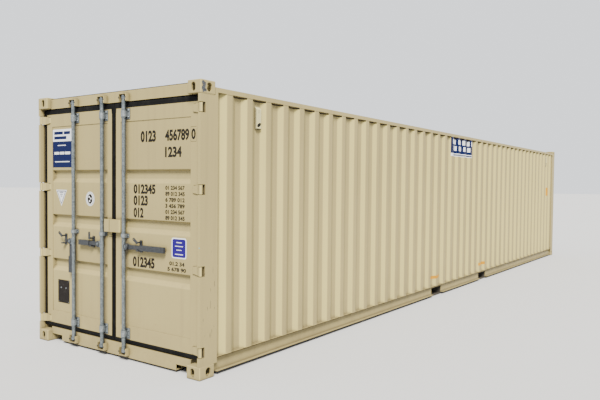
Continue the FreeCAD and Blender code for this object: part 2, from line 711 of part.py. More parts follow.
def keeper(x, z, cover_up):
    """Two cheeks on an end beam, joined past the rod's end and open to the front."""
    half = KEEPER_HEIGHT / 2
    ys = (at(KEEPER_FRONT_N), at(HEADER_N))
    outer = KEEPER_BESIDE + KEEPER_THICK
    cheeks = [box((x + s * KEEPER_BESIDE, x + s * outer), ys, (z - half, z + half)) for s in (-1, 1)]
    edge = z + cover_up * half
    cover = box((x - outer, x + outer), ys, (edge, edge + cover_up * KEEPER_COVER))
    return fuse(cheeks + [cover])


def lock_rod(x, lean):
    """A rod with a cam at each end and the two hub plates and pin that carry its handle."""
    y = at(ROD_N)
    solids = [upright(ROD_R, x, y, (ROD_OVER_SILL, HEIGHT - ROD_UNDER_TOP))]
    nose = x + lean * (CAM_REACH - CAM_NOSE_R)
    for z in (BOTTOM_CAM_Z, TOP_CAM_Z):
        zs = (z - CAM_THICK / 2, z + CAM_THICK / 2)
        solids.append(upright(CAM_BOSS_R, x, y, zs))
        solids.append(box((x, nose), (y - CAM_NOSE_R, y + CAM_NOSE_R), zs))
        solids.append(upright(CAM_NOSE_R, nose, y, zs))
    pivot = x + lean * PIVOT_OFFSET
    front, back = ROD_N - ROD_R, ROD_N + ROD_R
    for ns in ((front, front + HUB_PLATE), (back - HUB_PLATE, back)):
        solids.append(box((x, pivot), (at(ns[0]), at(ns[1])), (PIVOT_Z - HUB_R, PIVOT_Z + HUB_R)))
        solids.append(crosswise(HUB_R, pivot, PIVOT_Z, ns))
    web = x + lean * (ROD_R + HUB_WEB_PAST)
    solids.append(box((x, web), (at(front), at(back)), (PIVOT_Z - HUB_R, PIVOT_Z + HUB_R)))
    solids.append(crosswise(HUB_PIN_R, pivot, PIVOT_Z, (front, back)))
    return fuse(solids)


def catch_reach(lean):
    """How far a catch lies from its handle's pivot."""
    return RIGHT_CATCH_REACH if lean > 0 else LEFT_CATCH_REACH


def handle(x, lean, hanging):
    """A flat bar with an eye at its pivot and a channel grip, level or hanging straight down."""
    pivot = x + lean * PIVOT_OFFSET
    eye_half = ROD_R - HUB_PLATE - EYE_GAP
    eye = crosswise(EYE_R, pivot, PIVOT_Z, (ROD_N - eye_half, ROD_N + eye_half))
    start = catch_reach(lean) + GRIP_PAST_CATCH
    end = RIGHT_HANDLE_LENGTH if lean > 0 else LEFT_HANDLE_LENGTH
    half = HANDLE_HEIGHT / 2
    bar = box((pivot, pivot + lean * (start + GRIP_WALL)),
              (at(ROD_N - HANDLE_BAR / 2), at(ROD_N + HANDLE_BAR / 2)), (PIVOT_Z - half, PIVOT_Z + half))
    grip_ns = (ROD_N - GRIP_DEPTH / 2, ROD_N + GRIP_DEPTH / 2)
    grip_half = GRIP_HEIGHT / 2
    grip = box((pivot + lean * start, pivot + lean * end), (at(grip_ns[0]), at(grip_ns[1])),
               (PIVOT_Z - grip_half, PIVOT_Z + grip_half))
    hollow = box((pivot + lean * (start + GRIP_WALL), pivot + lean * (end - GRIP_WALL)),
                 (at(grip_ns[0] + GRIP_WALL), at(grip_ns[1] + 1)),
                 (PIVOT_Z - grip_half + GRIP_WALL, PIVOT_Z + grip_half - GRIP_WALL))
    bore = crosswise(HUB_PIN_R + PIN_GAP, pivot, PIVOT_Z, (ROD_N - 2 * eye_half, ROD_N + 2 * eye_half))
    piece = fuse([eye, bar, grip.cut(hollow)]).cut(bore)
    if hanging:
        piece.rotate(Vector(pivot, at(ROD_N), PIVOT_Z), Vector(0, 1, 0), lean * 90)
    return piece


def catch_place(x, lean):
    """The X of a handle's catch."""
    return x + lean * (PIVOT_OFFSET + catch_reach(lean))


def handle_catch(x, lean):
    """A plate on the panel with a ledge that the handle rests on and a pin for the flap."""
    middle = catch_place(x, lean)
    half = CATCH_WIDTH / 2
    ledge_top = PIVOT_Z - HANDLE_HEIGHT / 2 - CATCH_SEAT
    pin_z = PIVOT_Z + FLAP_PIN_RISE
    seat = PANEL_N - CATCH_PLATE
    plate = box((middle - half, middle + half), (at(seat), at(PANEL_N)),
                (ledge_top - 2 * CATCH_FOOT, pin_z + half))
    ledge = box((middle - half, middle + half), (at(LEDGE_FRONT_N), at(PANEL_N)), (ledge_top - CATCH_FOOT, ledge_top))
    boss = crosswise(FLAP_BOSS_R, middle, pin_z, (FLAP_N + FLAP_THICK + EYE_GAP, PANEL_N))
    pin = crosswise(FLAP_PIN_R, middle, pin_z, (FLAP_N, PANEL_N))
    return fuse([plate, ledge, boss, pin])


def catch_flap(x, lean, tilt):
    """A tongue on the catch's pin, raised clear of the handle and tilted to the left."""
    middle = catch_place(x, lean)
    pin_z = PIVOT_Z + FLAP_PIN_RISE
    ns = (FLAP_N, FLAP_N + FLAP_THICK)
    tip = pin_z + FLAP_LENGTH
    tongue = box((middle - FLAP_HALF, middle + FLAP_HALF), (at(ns[0]), at(ns[1])), (pin_z, tip))
    flap = fuse([tongue, crosswise(FLAP_HALF, middle, pin_z, ns), crosswise(FLAP_HALF, middle, tip, ns)])
    wide = (ns[0] - 1, ns[1] + 1)
    flap = flap.cut([crosswise(FLAP_PIN_R + PIN_GAP, middle, pin_z, wide), crosswise(FLAP_EYE_R, middle, tip, wide)])
    flap.rotate(Vector(middle, at(0), pin_z), Vector(0, 1, 0), -tilt)
    return flap


def lock_box():
    """The two halves of the padlock's cover, one on each leaf, open below and at the seam."""
    low = PANEL_MID - BOX_BELOW_MID
    zs = (low, low + BOX_HEIGHT)
    halves = []
    meeting = SEAM_X - SEAM_CLEAR / 2 - GASKET_SET_BACK
    for meet, end, lean in ((meeting - SEAM_CLEAR, LEFT_SEAM_EDGE - BOX_LEFT, -1),
                            (meeting, RIGHT_SEAM_EDGE + BOX_RIGHT, 1)):
        cover = box((meet, end), (at(BOX_FRONT_N), at(LEAF_N)), zs)
        corner = [edge for edge in cover.Edges
                  if all(abs(v.X - end) < 0.1 and abs(v.Y - at(BOX_FRONT_N)) < 0.1 for v in edge.Vertexes)]
        cover = cover.makeFillet(BOX_ROUND, corner)
        void = box((meet - lean, end - lean * BOX_WALL), (at(BOX_FRONT_N + BOX_WALL), at(LEAF_N + 1)),
                   (zs[0] - 1, zs[1] - BOX_WALL))
        void = void.makeFillet(BOX_ROUND - BOX_WALL, [
            edge for edge in void.Edges
            if all(abs(v.X - end + lean * BOX_WALL) < 0.1 and abs(v.Y - at(BOX_FRONT_N + BOX_WALL)) < 0.1
                   for v in edge.Vertexes)])
        halves.append(cover.cut(void))
    return halves


def data_plate():
    """A plate on the left leaf's panel."""
    edge = leaf_window(-1)[1] + PLATE_FROM_STILE
    low = PANEL_BOTTOM + PLATE_ABOVE_RAIL
    return box((edge, edge + PLATE_WIDTH), (at(PANEL_N - PLATE_THICK), at(PANEL_N)), (low, low + PLATE_HEIGHT))


def main():
    os.makedirs("parts", exist_ok=True)
    ends = (-1, 1)
    save("bottom_corner_fittings", [corner_fitting(s, e, False) for _, s in SIDES for e in ends])
    save("top_corner_fittings", [corner_fitting(s, e, True) for _, s in SIDES for e in ends])
    save("hinge_pins", hinge_pins())
    header_zs = (POST_TOP, HEIGHT - HEADER_BELOW_TOP)
    front = FRONT_END - POST_INSET
    save("door_header", [beam((at(HEADER_N), at(HEADER_N) + HEADER_DEPTH), header_zs)])
    save("door_sill", [door_sill()])
    save("front_header", [beam((front - HEADER_DEPTH, front), header_zs)])
    save("front_sill", front_sill())
    save("fork_pockets", [plate for y in pocket_places() for plate in fork_pocket(y)])
    save("cross_members", cross_members())
    save("gooseneck_tunnel", gooseneck_tunnel())
    save("floor", [floor()])
    save("front_wall", [front_wall()])
    save("roof", roof())
    save("vents", [vent(s, e) for _, s in SIDES for e in ends])
    save("header_keepers", [keeper(x, TOP_CAM_Z, 1) for _, _, x, _ in RODS])
    save("sill_keepers", [keeper(x, BOTTOM_CAM_Z, -1) for _, _, x, _ in RODS])
    halves = lock_box()
    for index, (name, side) in enumerate(SIDES):
        save(name + "_door_post", [door_post(side)])
        save(name + "_front_post", [front_post(side)])
        save(name + "_bottom_rail", bottom_rail(side))
        save(name + "_top_rail", [top_rail(side)])
        save(name + "_wall", [side_wall(side)])
        save(name + "_door_stiles", door_stiles(side))
        save(name + "_door_rails", door_rails(side))
        save(name + "_door_panel", [door_panel(side)])
        save(name + "_door_gasket", door_gasket(side))
        save(name + "_door_hinges", hinge_blades(side))
        save(name + "_rod_brackets", rod_brackets(side))
        save(name + "_lock_box", [halves[index]])
        save(name + "_handle_catches", [handle_catch(x, lean) for _, leaf, x, lean in RODS if leaf == side])
    save("data_plate", [data_plate()])
    for name, _, x, lean in RODS:
        save(name + "_lock_rod", [lock_rod(x, lean)])
        save(name + "_handle", [handle(x, lean, name == "left_outer")])
        save(name + "_catch_flap", [catch_flap(x, lean, FLAP_TILT[name])])
    for name, _, x, lean in RODS:
        print(name, "rod x", x, "pivot x", x + lean * PIVOT_OFFSET, "catch x", catch_place(x, lean))
    print("pivot z", PIVOT_Z, "hinge axis", HINGE_X, at(HINGE_N), "hinges", hinge_heights())


main()
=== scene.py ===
"""The finish of a forty foot shipping container, built round its steel frame, in metres.

X runs across the container, Y along it with the doors at -Y, and Z up. Each new piece is a surface
worked out with numpy, and each steel part that stays gets its own finish.
"""
import json
import math

import bmesh
import bpy
import numpy as np
from bpy.props import FloatProperty, FloatVectorProperty, PointerProperty, StringProperty
from mathutils import Matrix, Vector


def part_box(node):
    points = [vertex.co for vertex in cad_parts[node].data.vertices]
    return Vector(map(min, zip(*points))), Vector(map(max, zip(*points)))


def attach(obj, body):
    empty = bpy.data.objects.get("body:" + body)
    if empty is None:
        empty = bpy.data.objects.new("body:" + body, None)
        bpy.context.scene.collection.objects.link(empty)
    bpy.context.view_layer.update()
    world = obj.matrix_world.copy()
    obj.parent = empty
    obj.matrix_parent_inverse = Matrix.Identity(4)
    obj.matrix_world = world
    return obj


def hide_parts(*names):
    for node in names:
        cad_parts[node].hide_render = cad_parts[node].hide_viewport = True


bl_info = {
    "name": "Shipping Container",
    "version": (1, 0, 0),
    "blender": (4, 5, 0),
    "location": "View3D > Sidebar > Container",
    "description": "Sheets, seals, fixings, markings and finishes of a forty foot container",
    "category": "Object",
}

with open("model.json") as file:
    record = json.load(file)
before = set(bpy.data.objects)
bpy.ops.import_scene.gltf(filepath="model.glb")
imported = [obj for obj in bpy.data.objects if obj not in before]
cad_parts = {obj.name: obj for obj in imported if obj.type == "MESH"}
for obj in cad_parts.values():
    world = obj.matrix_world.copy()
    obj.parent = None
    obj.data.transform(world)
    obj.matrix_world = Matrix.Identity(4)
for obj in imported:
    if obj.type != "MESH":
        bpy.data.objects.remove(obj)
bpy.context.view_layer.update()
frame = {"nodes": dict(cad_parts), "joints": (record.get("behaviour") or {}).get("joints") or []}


def limits(node):
    """The lowest and highest corners of a steel part, as arrays."""
    low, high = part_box(node)
    return np.array(low), np.array(high)


DOOR_END = limits("bottom_corner_fittings")[0][1]
WALL = limits("right_wall")
FRONT = limits("front_wall")
ROOF = limits("roof")
POST = limits("right_door_post")
LEAVES = {side: (limits(side + "_door_stiles"), limits(side + "_door_gasket")) for side in ("left", "right")}
PANELS = {side: limits(side + "_door_panel") for side in ("left", "right")}
PANEL_FACE = PANELS["right"][0][1]
LEAF_FACE = LEAVES["right"][0][0][1]
RODS = {"left_outer": -1, "left_inner": -1, "right": 1}
TO_DOORS = (0, -1, 0)
MARK_THICK = 0.0004
BRACKET_HALF = 0.030            # half the height of a rod bracket
CATCH_REACH = {-1: 0.130, 1: 0.170}     # from a handle's pivot to its catch, on each leaf
ROOF_ENDS = (0.062, 0.109)      # lengths of the narrow roof sheets at the doors and at the front
ROOF_NARROWED = 0.150           # how much less the narrow sheets reach to each side
GROOVE = (0.0, 0.040, 0.113, 0.125)     # a door groove's corners, from its foot
GROOVE_HALF = 0.0625
GROOVE_DROP = 0.011             # the middle groove lies this far under the panel's centre
SUN_TOWARDS = (0.46, -0.53, 0.71)
SUN_PLACE = (8.0, -10.0, 12.0)
CAMERA_PLACE = (4.9779, -9.7656, 1.7038)
CAMERA_SHIFT = (-0.0428, 0.0076)
FINISHES = {}


def rod_place(name):
    """The X of a lock rod's centre."""
    for joint in frame["joints"]:
        if joint["name"] == name + "_rod_turn":
            return joint["pos_m"][0]
    raise ValueError("no lock rod named " + name)


def lift_place(name):
    """The X and Z of a handle's pivot."""
    for joint in frame["joints"]:
        if joint["name"] == name + "_handle_lift":
            return joint["pos_m"][0], joint["pos_m"][2]
    raise ValueError("no handle named " + name)


# Surfaces

def weave(rows, columns, close_rows=False, close_columns=False):
    """Quads between neighbouring points of a grid that is numbered row by row."""
    i, j = np.meshgrid(np.arange(rows - (not close_rows)), np.arange(columns - (not close_columns)),
                       indexing="ij")
    a, b = (i + 1) % rows, (j + 1) % columns
    return np.stack([i * columns + j, i * columns + b, a * columns + b, a * columns + j], -1).reshape(-1, 4)


def spread(x, y, z):
    """Points from three coordinates, any of which may be the same along a row, a column or all over."""
    return np.stack(np.broadcast_arrays(x, y, z), -1)


def shell(grid, offset):
    """A closed thin body: a grid of points, the same grid moved by an offset, and a strip round the edge."""
    rows, columns = grid.shape[:2]
    count = rows * columns
    index = np.arange(count).reshape(rows, columns)
    edge = np.concatenate([index[0, :-1], index[:-1, -1], index[-1, :0:-1], index[:0:-1, 0]])
    after = np.roll(edge, -1)
    front = weave(rows, columns)
    rim = np.stack([edge, edge + count, after + count, after], -1)
    points = np.concatenate([grid.reshape(-1, 3), (grid + offset).reshape(-1, 3)])
    return points, np.concatenate([front, front[:, ::-1] + count, rim])


def lathe(profile, places, axis, sides=24, flats=0):
    """A profile of (radius, height) points turned round an axis at each place.

    point = place + axis * height + radius * k(angle) * (u cos angle + v sin angle), where k is 1, or for
    a head with flats cos(pi/flats) / cos(angle within its flat).
    """
    profile, places, axis = np.asarray(profile), np.atleast_2d(places), np.asarray(axis, float)
    u = np.cross(axis, [0.0, 0.0, 1.0] if abs(axis[2]) < 0.9 else [1.0, 0.0, 0.0])
    u /= np.linalg.norm(u)
    v = np.cross(axis, u)
    angle = np.linspace(0, 2 * np.pi, sides, endpoint=False)
    k = np.ones(sides)
    if flats:
        part = 2 * np.pi / flats
        k = np.cos(part / 2) / np.cos(angle % part - part / 2)
    around = (u * np.cos(angle)[:, None] + v * np.sin(angle)[:, None]) * k[:, None]
    one = profile[:, None, :1] * around[None] + axis * profile[:, None, 1:]
    points = (places[:, None, None] + one[None]).reshape(-1, 3)
    faces = weave(len(profile), sides, close_columns=True)
    step = len(profile) * sides
    return points, (faces[None] + step * np.arange(len(places))[:, None, None]).reshape(-1, 4)


def tube(path, radius, side, sides=8, ripple=0.0, pitch=0.012):
    """A round bead along a path: point = path + r (side cos a + across sin a), r rippled along its length."""
    path = np.asarray(path, float)
    tangent = np.gradient(path, axis=0)
    tangent /= np.linalg.norm(tangent, axis=1, keepdims=True)
    side = np.broadcast_to(np.asarray(side, float), path.shape)
    across = np.cross(tangent, side)
    across /= np.linalg.norm(across, axis=1, keepdims=True)
    side = np.cross(across, tangent)
    length = np.concatenate([[0], np.cumsum(np.linalg.norm(np.diff(path, axis=0), axis=1))])
    r = radius * (1 + ripple * np.sin(2 * np.pi * length / pitch))
    r[[0, -1]] *= 0.2
    angle = np.linspace(0, 2 * np.pi, sides, endpoint=False)
    around = side[:, None] * np.cos(angle)[None, :, None] + across[:, None] * np.sin(angle)[None, :, None]
    points = path[:, None] + r[:, None, None] * around
    return points.reshape(-1, 3), weave(len(path), sides, close_columns=True)


def rounded(low, high, radius, steps=5):
    """The outline of a rectangle with rounded corners: four quarter turns joined by straight sides."""
    low, high = np.asarray(low, float), np.asarray(high, float)
    turn = np.linspace(0, np.pi / 2, steps)[None] + np.arange(4)[:, None] * np.pi / 2
    centres = np.array([[high[0] - radius, high[1] - radius], [low[0] + radius, high[1] - radius],
                        [low[0] + radius, low[1] + radius], [high[0] - radius, low[1] + radius]])
    points = centres[:, None] + radius * np.stack([np.cos(turn), np.sin(turn)], -1)
    return points.reshape(-1, 2)


def blob(centre, size, seed, steps=40):
    """An uneven round outline: an ellipse whose radius varies by a few sines of the angle."""
    rng = np.random.default_rng(seed)
    angle = np.linspace(0, 2 * np.pi, steps, endpoint=False)
    order = np.arange(2, 8)[:, None]
    share = rng.uniform(0.02, 0.13, (6, 1))
    uneven = 1 + (share * np.sin(order * angle + rng.uniform(0, 6.3, (6, 1)))).sum(0)
    around = np.stack([np.cos(angle), np.sin(angle)], -1)
    return np.asarray(centre) + around * uneven[:, None] * np.asarray(size) / 2


def plate(outline, base, thick, facing):
    """A thin flat body from an outline, its back at `base` along the facing axis, raised by `thick`.

    The outline's two numbers are X and Z on a face towards Y, or Y and Z on a face towards X.
    """
    axis = 1 if facing[1] else 0
    other = 1 - axis
    sign = facing[axis]
    points = np.zeros((2, len(outline), 3))
    points[:, :, other] = outline[:, 0]
    points[:, :, 2] = outline[:, 1]
    points[0, :, axis] = base
    points[1, :, axis] = base + sign * thick
    count = len(outline)
    faces = weave(2, count, close_columns=True).tolist()
    faces.append(list(range(count)))
    faces.append(list(range(2 * count - 1, count - 1, -1)))
    return points.reshape(-1, 3), faces


def waves(start, end, pitch, flat, slope, depth, end_flat=0.030):
    """Corners (place, rise) of whole trapezoid waves between two places, low at both ends."""
    count = int((end - start - 2 * end_flat + flat) / pitch + 1e-6)
    foot = start + (end - start - count * pitch) / 2 + pitch * np.arange(count) + flat / 2
    crest = pitch - flat - 2 * slope
    place = np.stack([foot, foot + slope, foot + slope + crest, foot + 2 * slope + crest], -1).ravel()
    rise = np.tile([0.0, depth, depth, 0.0], count)
    return np.stack([np.r_[start, place, end], np.r_[0.0, rise, 0.0]], -1)


def bent(corners, reach, steps=5):
    """A line through corners with each bend eased: (1-s)^2 a + 2s(1-s) corner + s^2 b.

    The places a and b lie at `reach` before and after the corner.
    """
    middle = corners[1:-1]
    back, ahead = corners[:-2] - middle, corners[2:] - middle
    back_length = np.linalg.norm(back, axis=1, keepdims=True)
    ahead_length = np.linalg.norm(ahead, axis=1, keepdims=True)
    a = middle + back * np.minimum(reach / back_length, 0.48)
    b = middle + ahead * np.minimum(reach / ahead_length, 0.48)
    s = np.linspace(0, 1, steps)[None, :, None]
    eased = (1 - s) ** 2 * a[:, None] + 2 * s * (1 - s) * middle[:, None] + s ** 2 * b[:, None]
    return np.concatenate([corners[:1], eased.reshape(-1, 2), corners[-1:]])


def unevenness(a, b, size, seed):
    """Gentle dents: a sum of slow sines over two places, with set phases."""
    rng = np.random.default_rng(seed)
    total = np.zeros(np.broadcast(a, b).shape)
    for fa, fb in ((0.9, 1.3), (2.1, 0.7), (1.6, 2.9)):
        total = total + np.sin(fa * a + rng.uniform(0, 6.3)) * np.sin(fb * b + rng.uniform(0, 6.3))
    return size * total / 3


# Objects

def join(pieces):
    """One list of points and one of faces from several."""
    points, faces, start = [], [], 0
    for some, quads in pieces:
        points.append(some)
        faces += (np.asarray(quads) + start).tolist() if isinstance(quads, np.ndarray) else [
            [start + i for i in face] for face in quads]
        start += len(some)
    return np.concatenate(points), faces


def make(name, pieces, finish, body="container", replaces=(), crease=35.0):
    """A finished object: its faces turned outwards, its mesh smooth except at creases, and its body set."""
    points, faces = join(pieces)
    mesh = bpy.data.meshes.new(name)
    mesh.from_pydata(points, [], faces)
    work = bmesh.new()
    work.from_mesh(mesh)
    bmesh.ops.remove_doubles(work, verts=work.verts, dist=1e-6)
    bmesh.ops.recalc_face_normals(work, faces=work.faces)
    work.to_mesh(mesh)
    work.free()
    mesh.polygons.foreach_set("use_smooth", np.ones(len(mesh.polygons), bool))
    mesh.set_sharp_from_angle(angle=math.radians(crease))
    mesh.materials.append(FINISHES[finish])
    made = bpy.data.objects.new(name, mesh)
    bpy.context.scene.collection.objects.link(made)
    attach(made, body)
    if replaces:
        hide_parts(*replaces)
    return made


def capped(profile):
    """A lathe profile closed at both ends on its axis."""
    profile = np.asarray(profile, float)
    return np.concatenate([[[0, profile[0, 1]]], profile, [[0, profile[-1, 1]]]])


def bolt_heads(places, axis, radius, height):
    """Hexagon heads on washers: two turned profiles at each place."""
    washer = capped([[radius * 1.25, 0], [radius * 1.32, height * 0.12], [radius * 1.25, height * 0.25]])
    head = capped([[radius, height * 0.2], [radius, height * 0.88], [radius * 0.9, height]])
    return [lathe(washer, places, axis, 24), lathe(head, places, axis, 24, flats=6)]


def rivet_heads(places, axis, radius, height):
    """Domed heads: radius cos t, height sin t."""
    t = np.linspace(0, np.pi / 2, 6)
    dome = np.stack([radius * np.cos(t), height * np.sin(t)], -1)
    return [lathe(np.concatenate([[[0, 0]], dome]), places, axis, 16)]


def numerals(text, low, high, base, bold=0.0):
    """Numerals that fill a rectangle (x, z) on the door face, as closed raised bodies."""
    curve = bpy.data.curves.new("numerals", "FONT")
    curve.body = text
    curve.size = 1.0
    curve.offset = bold
    curve.extrude = 0.5
    curve.resolution_u = 4
    holder = bpy.data.objects.new("numerals", curve)
    bpy.context.scene.collection.objects.link(holder)
    bpy.context.view_layer.update()
    flat = bpy.data.meshes.new_from_object(holder.evaluated_get(bpy.context.evaluated_depsgraph_get()))
    bpy.data.objects.remove(holder)
    place = np.zeros(len(flat.vertices) * 3)
    flat.vertices.foreach_get("co", place)
    place = place.reshape(-1, 3)
    least, most = place.min(0), place.max(0)
    share = (place - least) / (most - least)
    points = np.stack([low[0] + share[:, 0] * (high[0] - low[0]), base - share[:, 2] * MARK_THICK,
                       low[1] + share[:, 1] * (high[1] - low[1])], -1)
    faces = [list(face.vertices) for face in flat.polygons]
    bpy.data.meshes.remove(flat)
    return points, faces


# Finishes

class Finish:
    """A material whose nodes are added one after another."""

    def __init__(self, name):
        self.material = bpy.data.materials.new(name)
        self.material.use_nodes = True
        self.nodes = self.material.node_tree.nodes
        self.links = self.material.node_tree.links
        self.shader = self.nodes["Principled BSDF"]
        self.place = self.nodes.new("ShaderNodeTexCoord").outputs["Object"]

    def node(self, kind, settings=(), inputs=()):
        """One node, with its settings and its inputs given as pairs."""
        made = self.nodes.new("ShaderNode" + kind)
        for key, value in settings:
            setattr(made, key, value)
        for key, value in inputs:
            if isinstance(value, bpy.types.NodeSocket):
                self.links.new(value, made.inputs[key])
            else:
                made.inputs[key].default_value = value
        return made

    def stretched(self, scale):
        """The place on the object, scaled along each axis."""
        return self.node("Mapping", (), [("Vector", self.place), ("Scale", scale)]).outputs[0]

    def noise(self, scale, detail=3.0, roughness=0.5, place=None):
        """Cloudy noise from 0 to 1."""
        return self.node("TexNoise", (), [
            ("Vector", place or self.place), ("Scale", scale), ("Detail", detail),
            ("Roughness", roughness)]).outputs["Fac"]

    def remap(self, value, low, high, to_low=0.0, to_high=1.0):
        """A value carried from one span to another and held within it."""
        return self.node("MapRange", [("clamp", True)], [
            ("Value", value), ("From Min", low), ("From Max", high), ("To Min", to_low),
            ("To Max", to_high)]).outputs[0]

    def sum(self, operation, a, b):
        """Two values put together by one operation."""
        return self.node("Math", [("operation", operation)], [(0, a), (1, b)]).outputs[0]

    def blend(self, factor, a, b):
        """A mix of two colours."""
        mixed = self.node("Mix", [("data_type", "RGBA")])
        for key, value in ((0, factor), (6, a), (7, b)):
            if isinstance(value, bpy.types.NodeSocket):
                self.links.new(value, mixed.inputs[key])
            else:
                mixed.inputs[key].default_value = value if key == 0 else (*value[:3], 1.0)
        return mixed.outputs[2]

    def axis(self, letter):
        """One coordinate of the place on the object."""
        return self.node("SeparateXYZ", (), [("Vector", self.place)]).outputs[letter]

    def corner_shade_mask(self, reach):
        """How far a place lies in a corner or a gap, from 0 in the open to 1: the mask for painted shade."""
        open_share = self.node("AmbientOcclusion", [("samples", 6)], [("Distance", reach)]).outputs["AO"]
        return self.remap(open_share, 0.85, 0.25)

    def highlight_slopes(self):
        """Picks out the slopes of the side walls that face the door end, where the painted highlight goes."""
        normal = self.node("TexCoord").outputs["Normal"]
        parts = self.node("SeparateXYZ", (), [("Vector", normal)]).outputs
        towards = self.remap(parts["Y"], -0.30, -0.42)
        return self.sum("MULTIPLY", towards, self.remap(self.sum("ABSOLUTE", parts["X"], 0.0), 0.60, 0.80))

    def bump(self, height, strength, distance):
        """A bump from a height, carried on to the shader."""
        made = self.node("Bump", (), [("Height", height), ("Strength", strength), ("Distance", distance)])
        self.links.new(made.outputs[0], self.shader.inputs["Normal"])

    def finish(self, colour, roughness, metallic=0.0, **constants):
        """Sends colour and roughness to the shader and sets what is the same all over."""
        for key, value in (("Base Color", colour), ("Roughness", roughness)):
            if isinstance(value, bpy.types.NodeSocket):
                self.links.new(value, self.shader.inputs[key])
            else:
                self.shader.inputs[key].default_value = (*value[:3], 1.0) if key == "Base Color" else value
        self.shader.inputs["Metallic"].default_value = metallic
        for key, value in constants.items():
            self.shader.inputs[key.replace("_", " ")].default_value = value
        return self.material


def shade(colour, factor):
    """A colour made lighter or darker."""
    return tuple(min(1.0, c * factor) for c in colour[:3])


def paint(name, settings, wear=0.0, base=None):
    """Sprayed enamel: faded in clouds, streaked by rain, dusty low down, chipped to rust where worn, with a
    painted highlight on the wall slopes that face the doors and painted shade in corners and gaps.
    """
    f = Finish(name)
    colour = tuple(base or settings.colour)
    clouds = f.noise(0.7, 4.0)
    tint = f.blend(f.remap(clouds, 0.35, 0.65), shade(colour, 1.0 - settings.fade),
                   shade(colour, 1.0 + settings.fade))
    rain = f.noise(1.0, 5.0, 0.6, f.stretched((16.0, 16.0, 0.5)))
    tint = f.blend(f.remap(rain, 0.52, 0.8, 0.0, settings.streaks), tint, settings.dirt_and_shade_colour)
    blotch = f.noise(5.0, 6.0, 0.65)
    dust = f.sum("MULTIPLY", f.remap(f.axis("Z"), 0.55, 0.02), f.remap(blotch, 0.3, 0.7))
    tint = f.blend(f.sum("MULTIPLY", dust, settings.dust), tint, settings.dirt_and_shade_colour)
    # Painted highlight: the wall slopes that face the doors are made lighter.
    tint = f.blend(f.sum("MULTIPLY", f.highlight_slopes(), settings.bloom), tint, settings.highlight_colour)
    # Painted shade: corners and gaps darkened by an occlusion mask, in the dirt colour made darker.
    tint = f.blend(f.sum("MULTIPLY", f.corner_shade_mask(0.05), settings.corner_shade), tint,
                   shade(settings.dirt_and_shade_colour, 0.45))
    chips = f.remap(f.noise(34.0, 3.0, 0.7), 0.745 - 0.06 * wear, 0.765 - 0.06 * wear)
    area = f.remap(f.noise(1.7, 2.0), 0.5, 0.62)
    chips = f.sum("MULTIPLY", chips, area)
    tint = f.blend(chips, tint, settings.rust_colour)
    fine = f.noise(260.0, 2.0)
    peel = f.sum("ADD", f.sum("MULTIPLY", fine, 0.3), f.noise(7.0, 2.0))
    f.bump(f.sum("SUBTRACT", peel, chips), 0.16, 0.0012)
    gloss = f.remap(blotch, 0.3, 0.7, settings.roughness - 0.06, settings.roughness + 0.08)
    return f.finish(tint, f.sum("ADD", gloss, f.sum("MULTIPLY", chips, 0.3)), Specular_IOR_Level=0.2)


def zinc(name, colour, dark, rough, stain):
    """Dipped zinc: crystal spangles, cloudy dulling, a few brown stains and painted shade in corners and
    gaps.
    """
    f = Finish(name)
    spangles = f.node("TexVoronoi", [("feature", "F1")], [("Vector", f.place), ("Scale", 130.0)])
    grain = f.node("SeparateXYZ", (), [("Vector", spangles.outputs["Color"])]).outputs["X"]
    cloud = f.noise(24.0, 5.0, 0.6)
    mixed = f.sum("ADD", f.sum("MULTIPLY", grain, 0.45), f.sum("MULTIPLY", cloud, 0.6))
    tint = f.blend(f.remap(mixed, 0.2, 0.85), dark, colour)
    streaks = f.noise(1.0, 4.0, 0.6, f.stretched((60.0, 60.0, 5.0)))
    tint = f.blend(f.remap(streaks, 0.62, 0.8, 0.0, stain), tint, (0.085, 0.048, 0.026))
    # Painted shade: corners and gaps darkened by an occlusion mask, in the dark zinc tone made darker.
    tint = f.blend(f.corner_shade_mask(0.03), tint, shade(dark, 0.25))
    f.bump(f.noise(180.0, 3.0), 0.25, 0.0006)
    return f.finish(tint, f.remap(cloud, 0.3, 0.7, rough - 0.1, rough + 0.12), metallic=0.5)


def rubber(name):
    """Black sealing rubber, dusty grey in patches."""
    f = Finish(name)
    dust = f.remap(f.noise(9.0, 5.0, 0.65), 0.5, 0.75, 0.0, 0.5)
    tint = f.blend(dust, (0.0035, 0.0035, 0.0035), (0.016, 0.015, 0.013))
    f.bump(f.noise(320.0, 3.0), 0.2, 0.0004)
    return f.finish(tint, f.remap(dust, 0.0, 0.5, 0.6, 0.85), Specular_IOR_Level=0.06)


def plywood(name):
    """Worn floor boards: long grain, cloudy wear and dark knots."""
    f = Finish(name)
    grain = f.noise(1.0, 7.0, 0.65, f.stretched((42.0, 1.6, 42.0)))
    rings = f.node("TexWave", [("wave_type", "BANDS"), ("bands_direction", "X")], [
        ("Vector", f.stretched((1.0, 0.12, 1.0))), ("Scale", 9.0), ("Distortion", 6.0),
        ("Detail", 3.0)]).outputs["Fac"]
    mixed = f.sum("ADD", f.sum("MULTIPLY", grain, 0.7), f.sum("MULTIPLY", rings, 0.3))
    tint = f.blend(f.remap(mixed, 0.3, 0.7), (0.075, 0.036, 0.016), (0.20, 0.115, 0.058))
    worn = f.remap(f.noise(1.3, 6.0, 0.7), 0.45, 0.7, 0.0, 0.6)
    tint = f.blend(worn, tint, (0.13, 0.10, 0.075))
    f.bump(mixed, 0.3, 0.001)
    return f.finish(tint, f.remap(mixed, 0.3, 0.7, 0.55, 0.75))


def undercoat(name):
    """Thick dark coating on the base, brushed on and dusty."""
    f = Finish(name)
    cloud = f.noise(3.0, 6.0, 0.65)
    tint = f.blend(f.remap(cloud, 0.35, 0.7), (0.014, 0.012, 0.009), (0.055, 0.045, 0.030))
    f.bump(f.noise(60.0, 4.0, 0.6), 0.5, 0.0015)
    return f.finish(tint, f.remap(cloud, 0.3, 0.7, 0.6, 0.85))


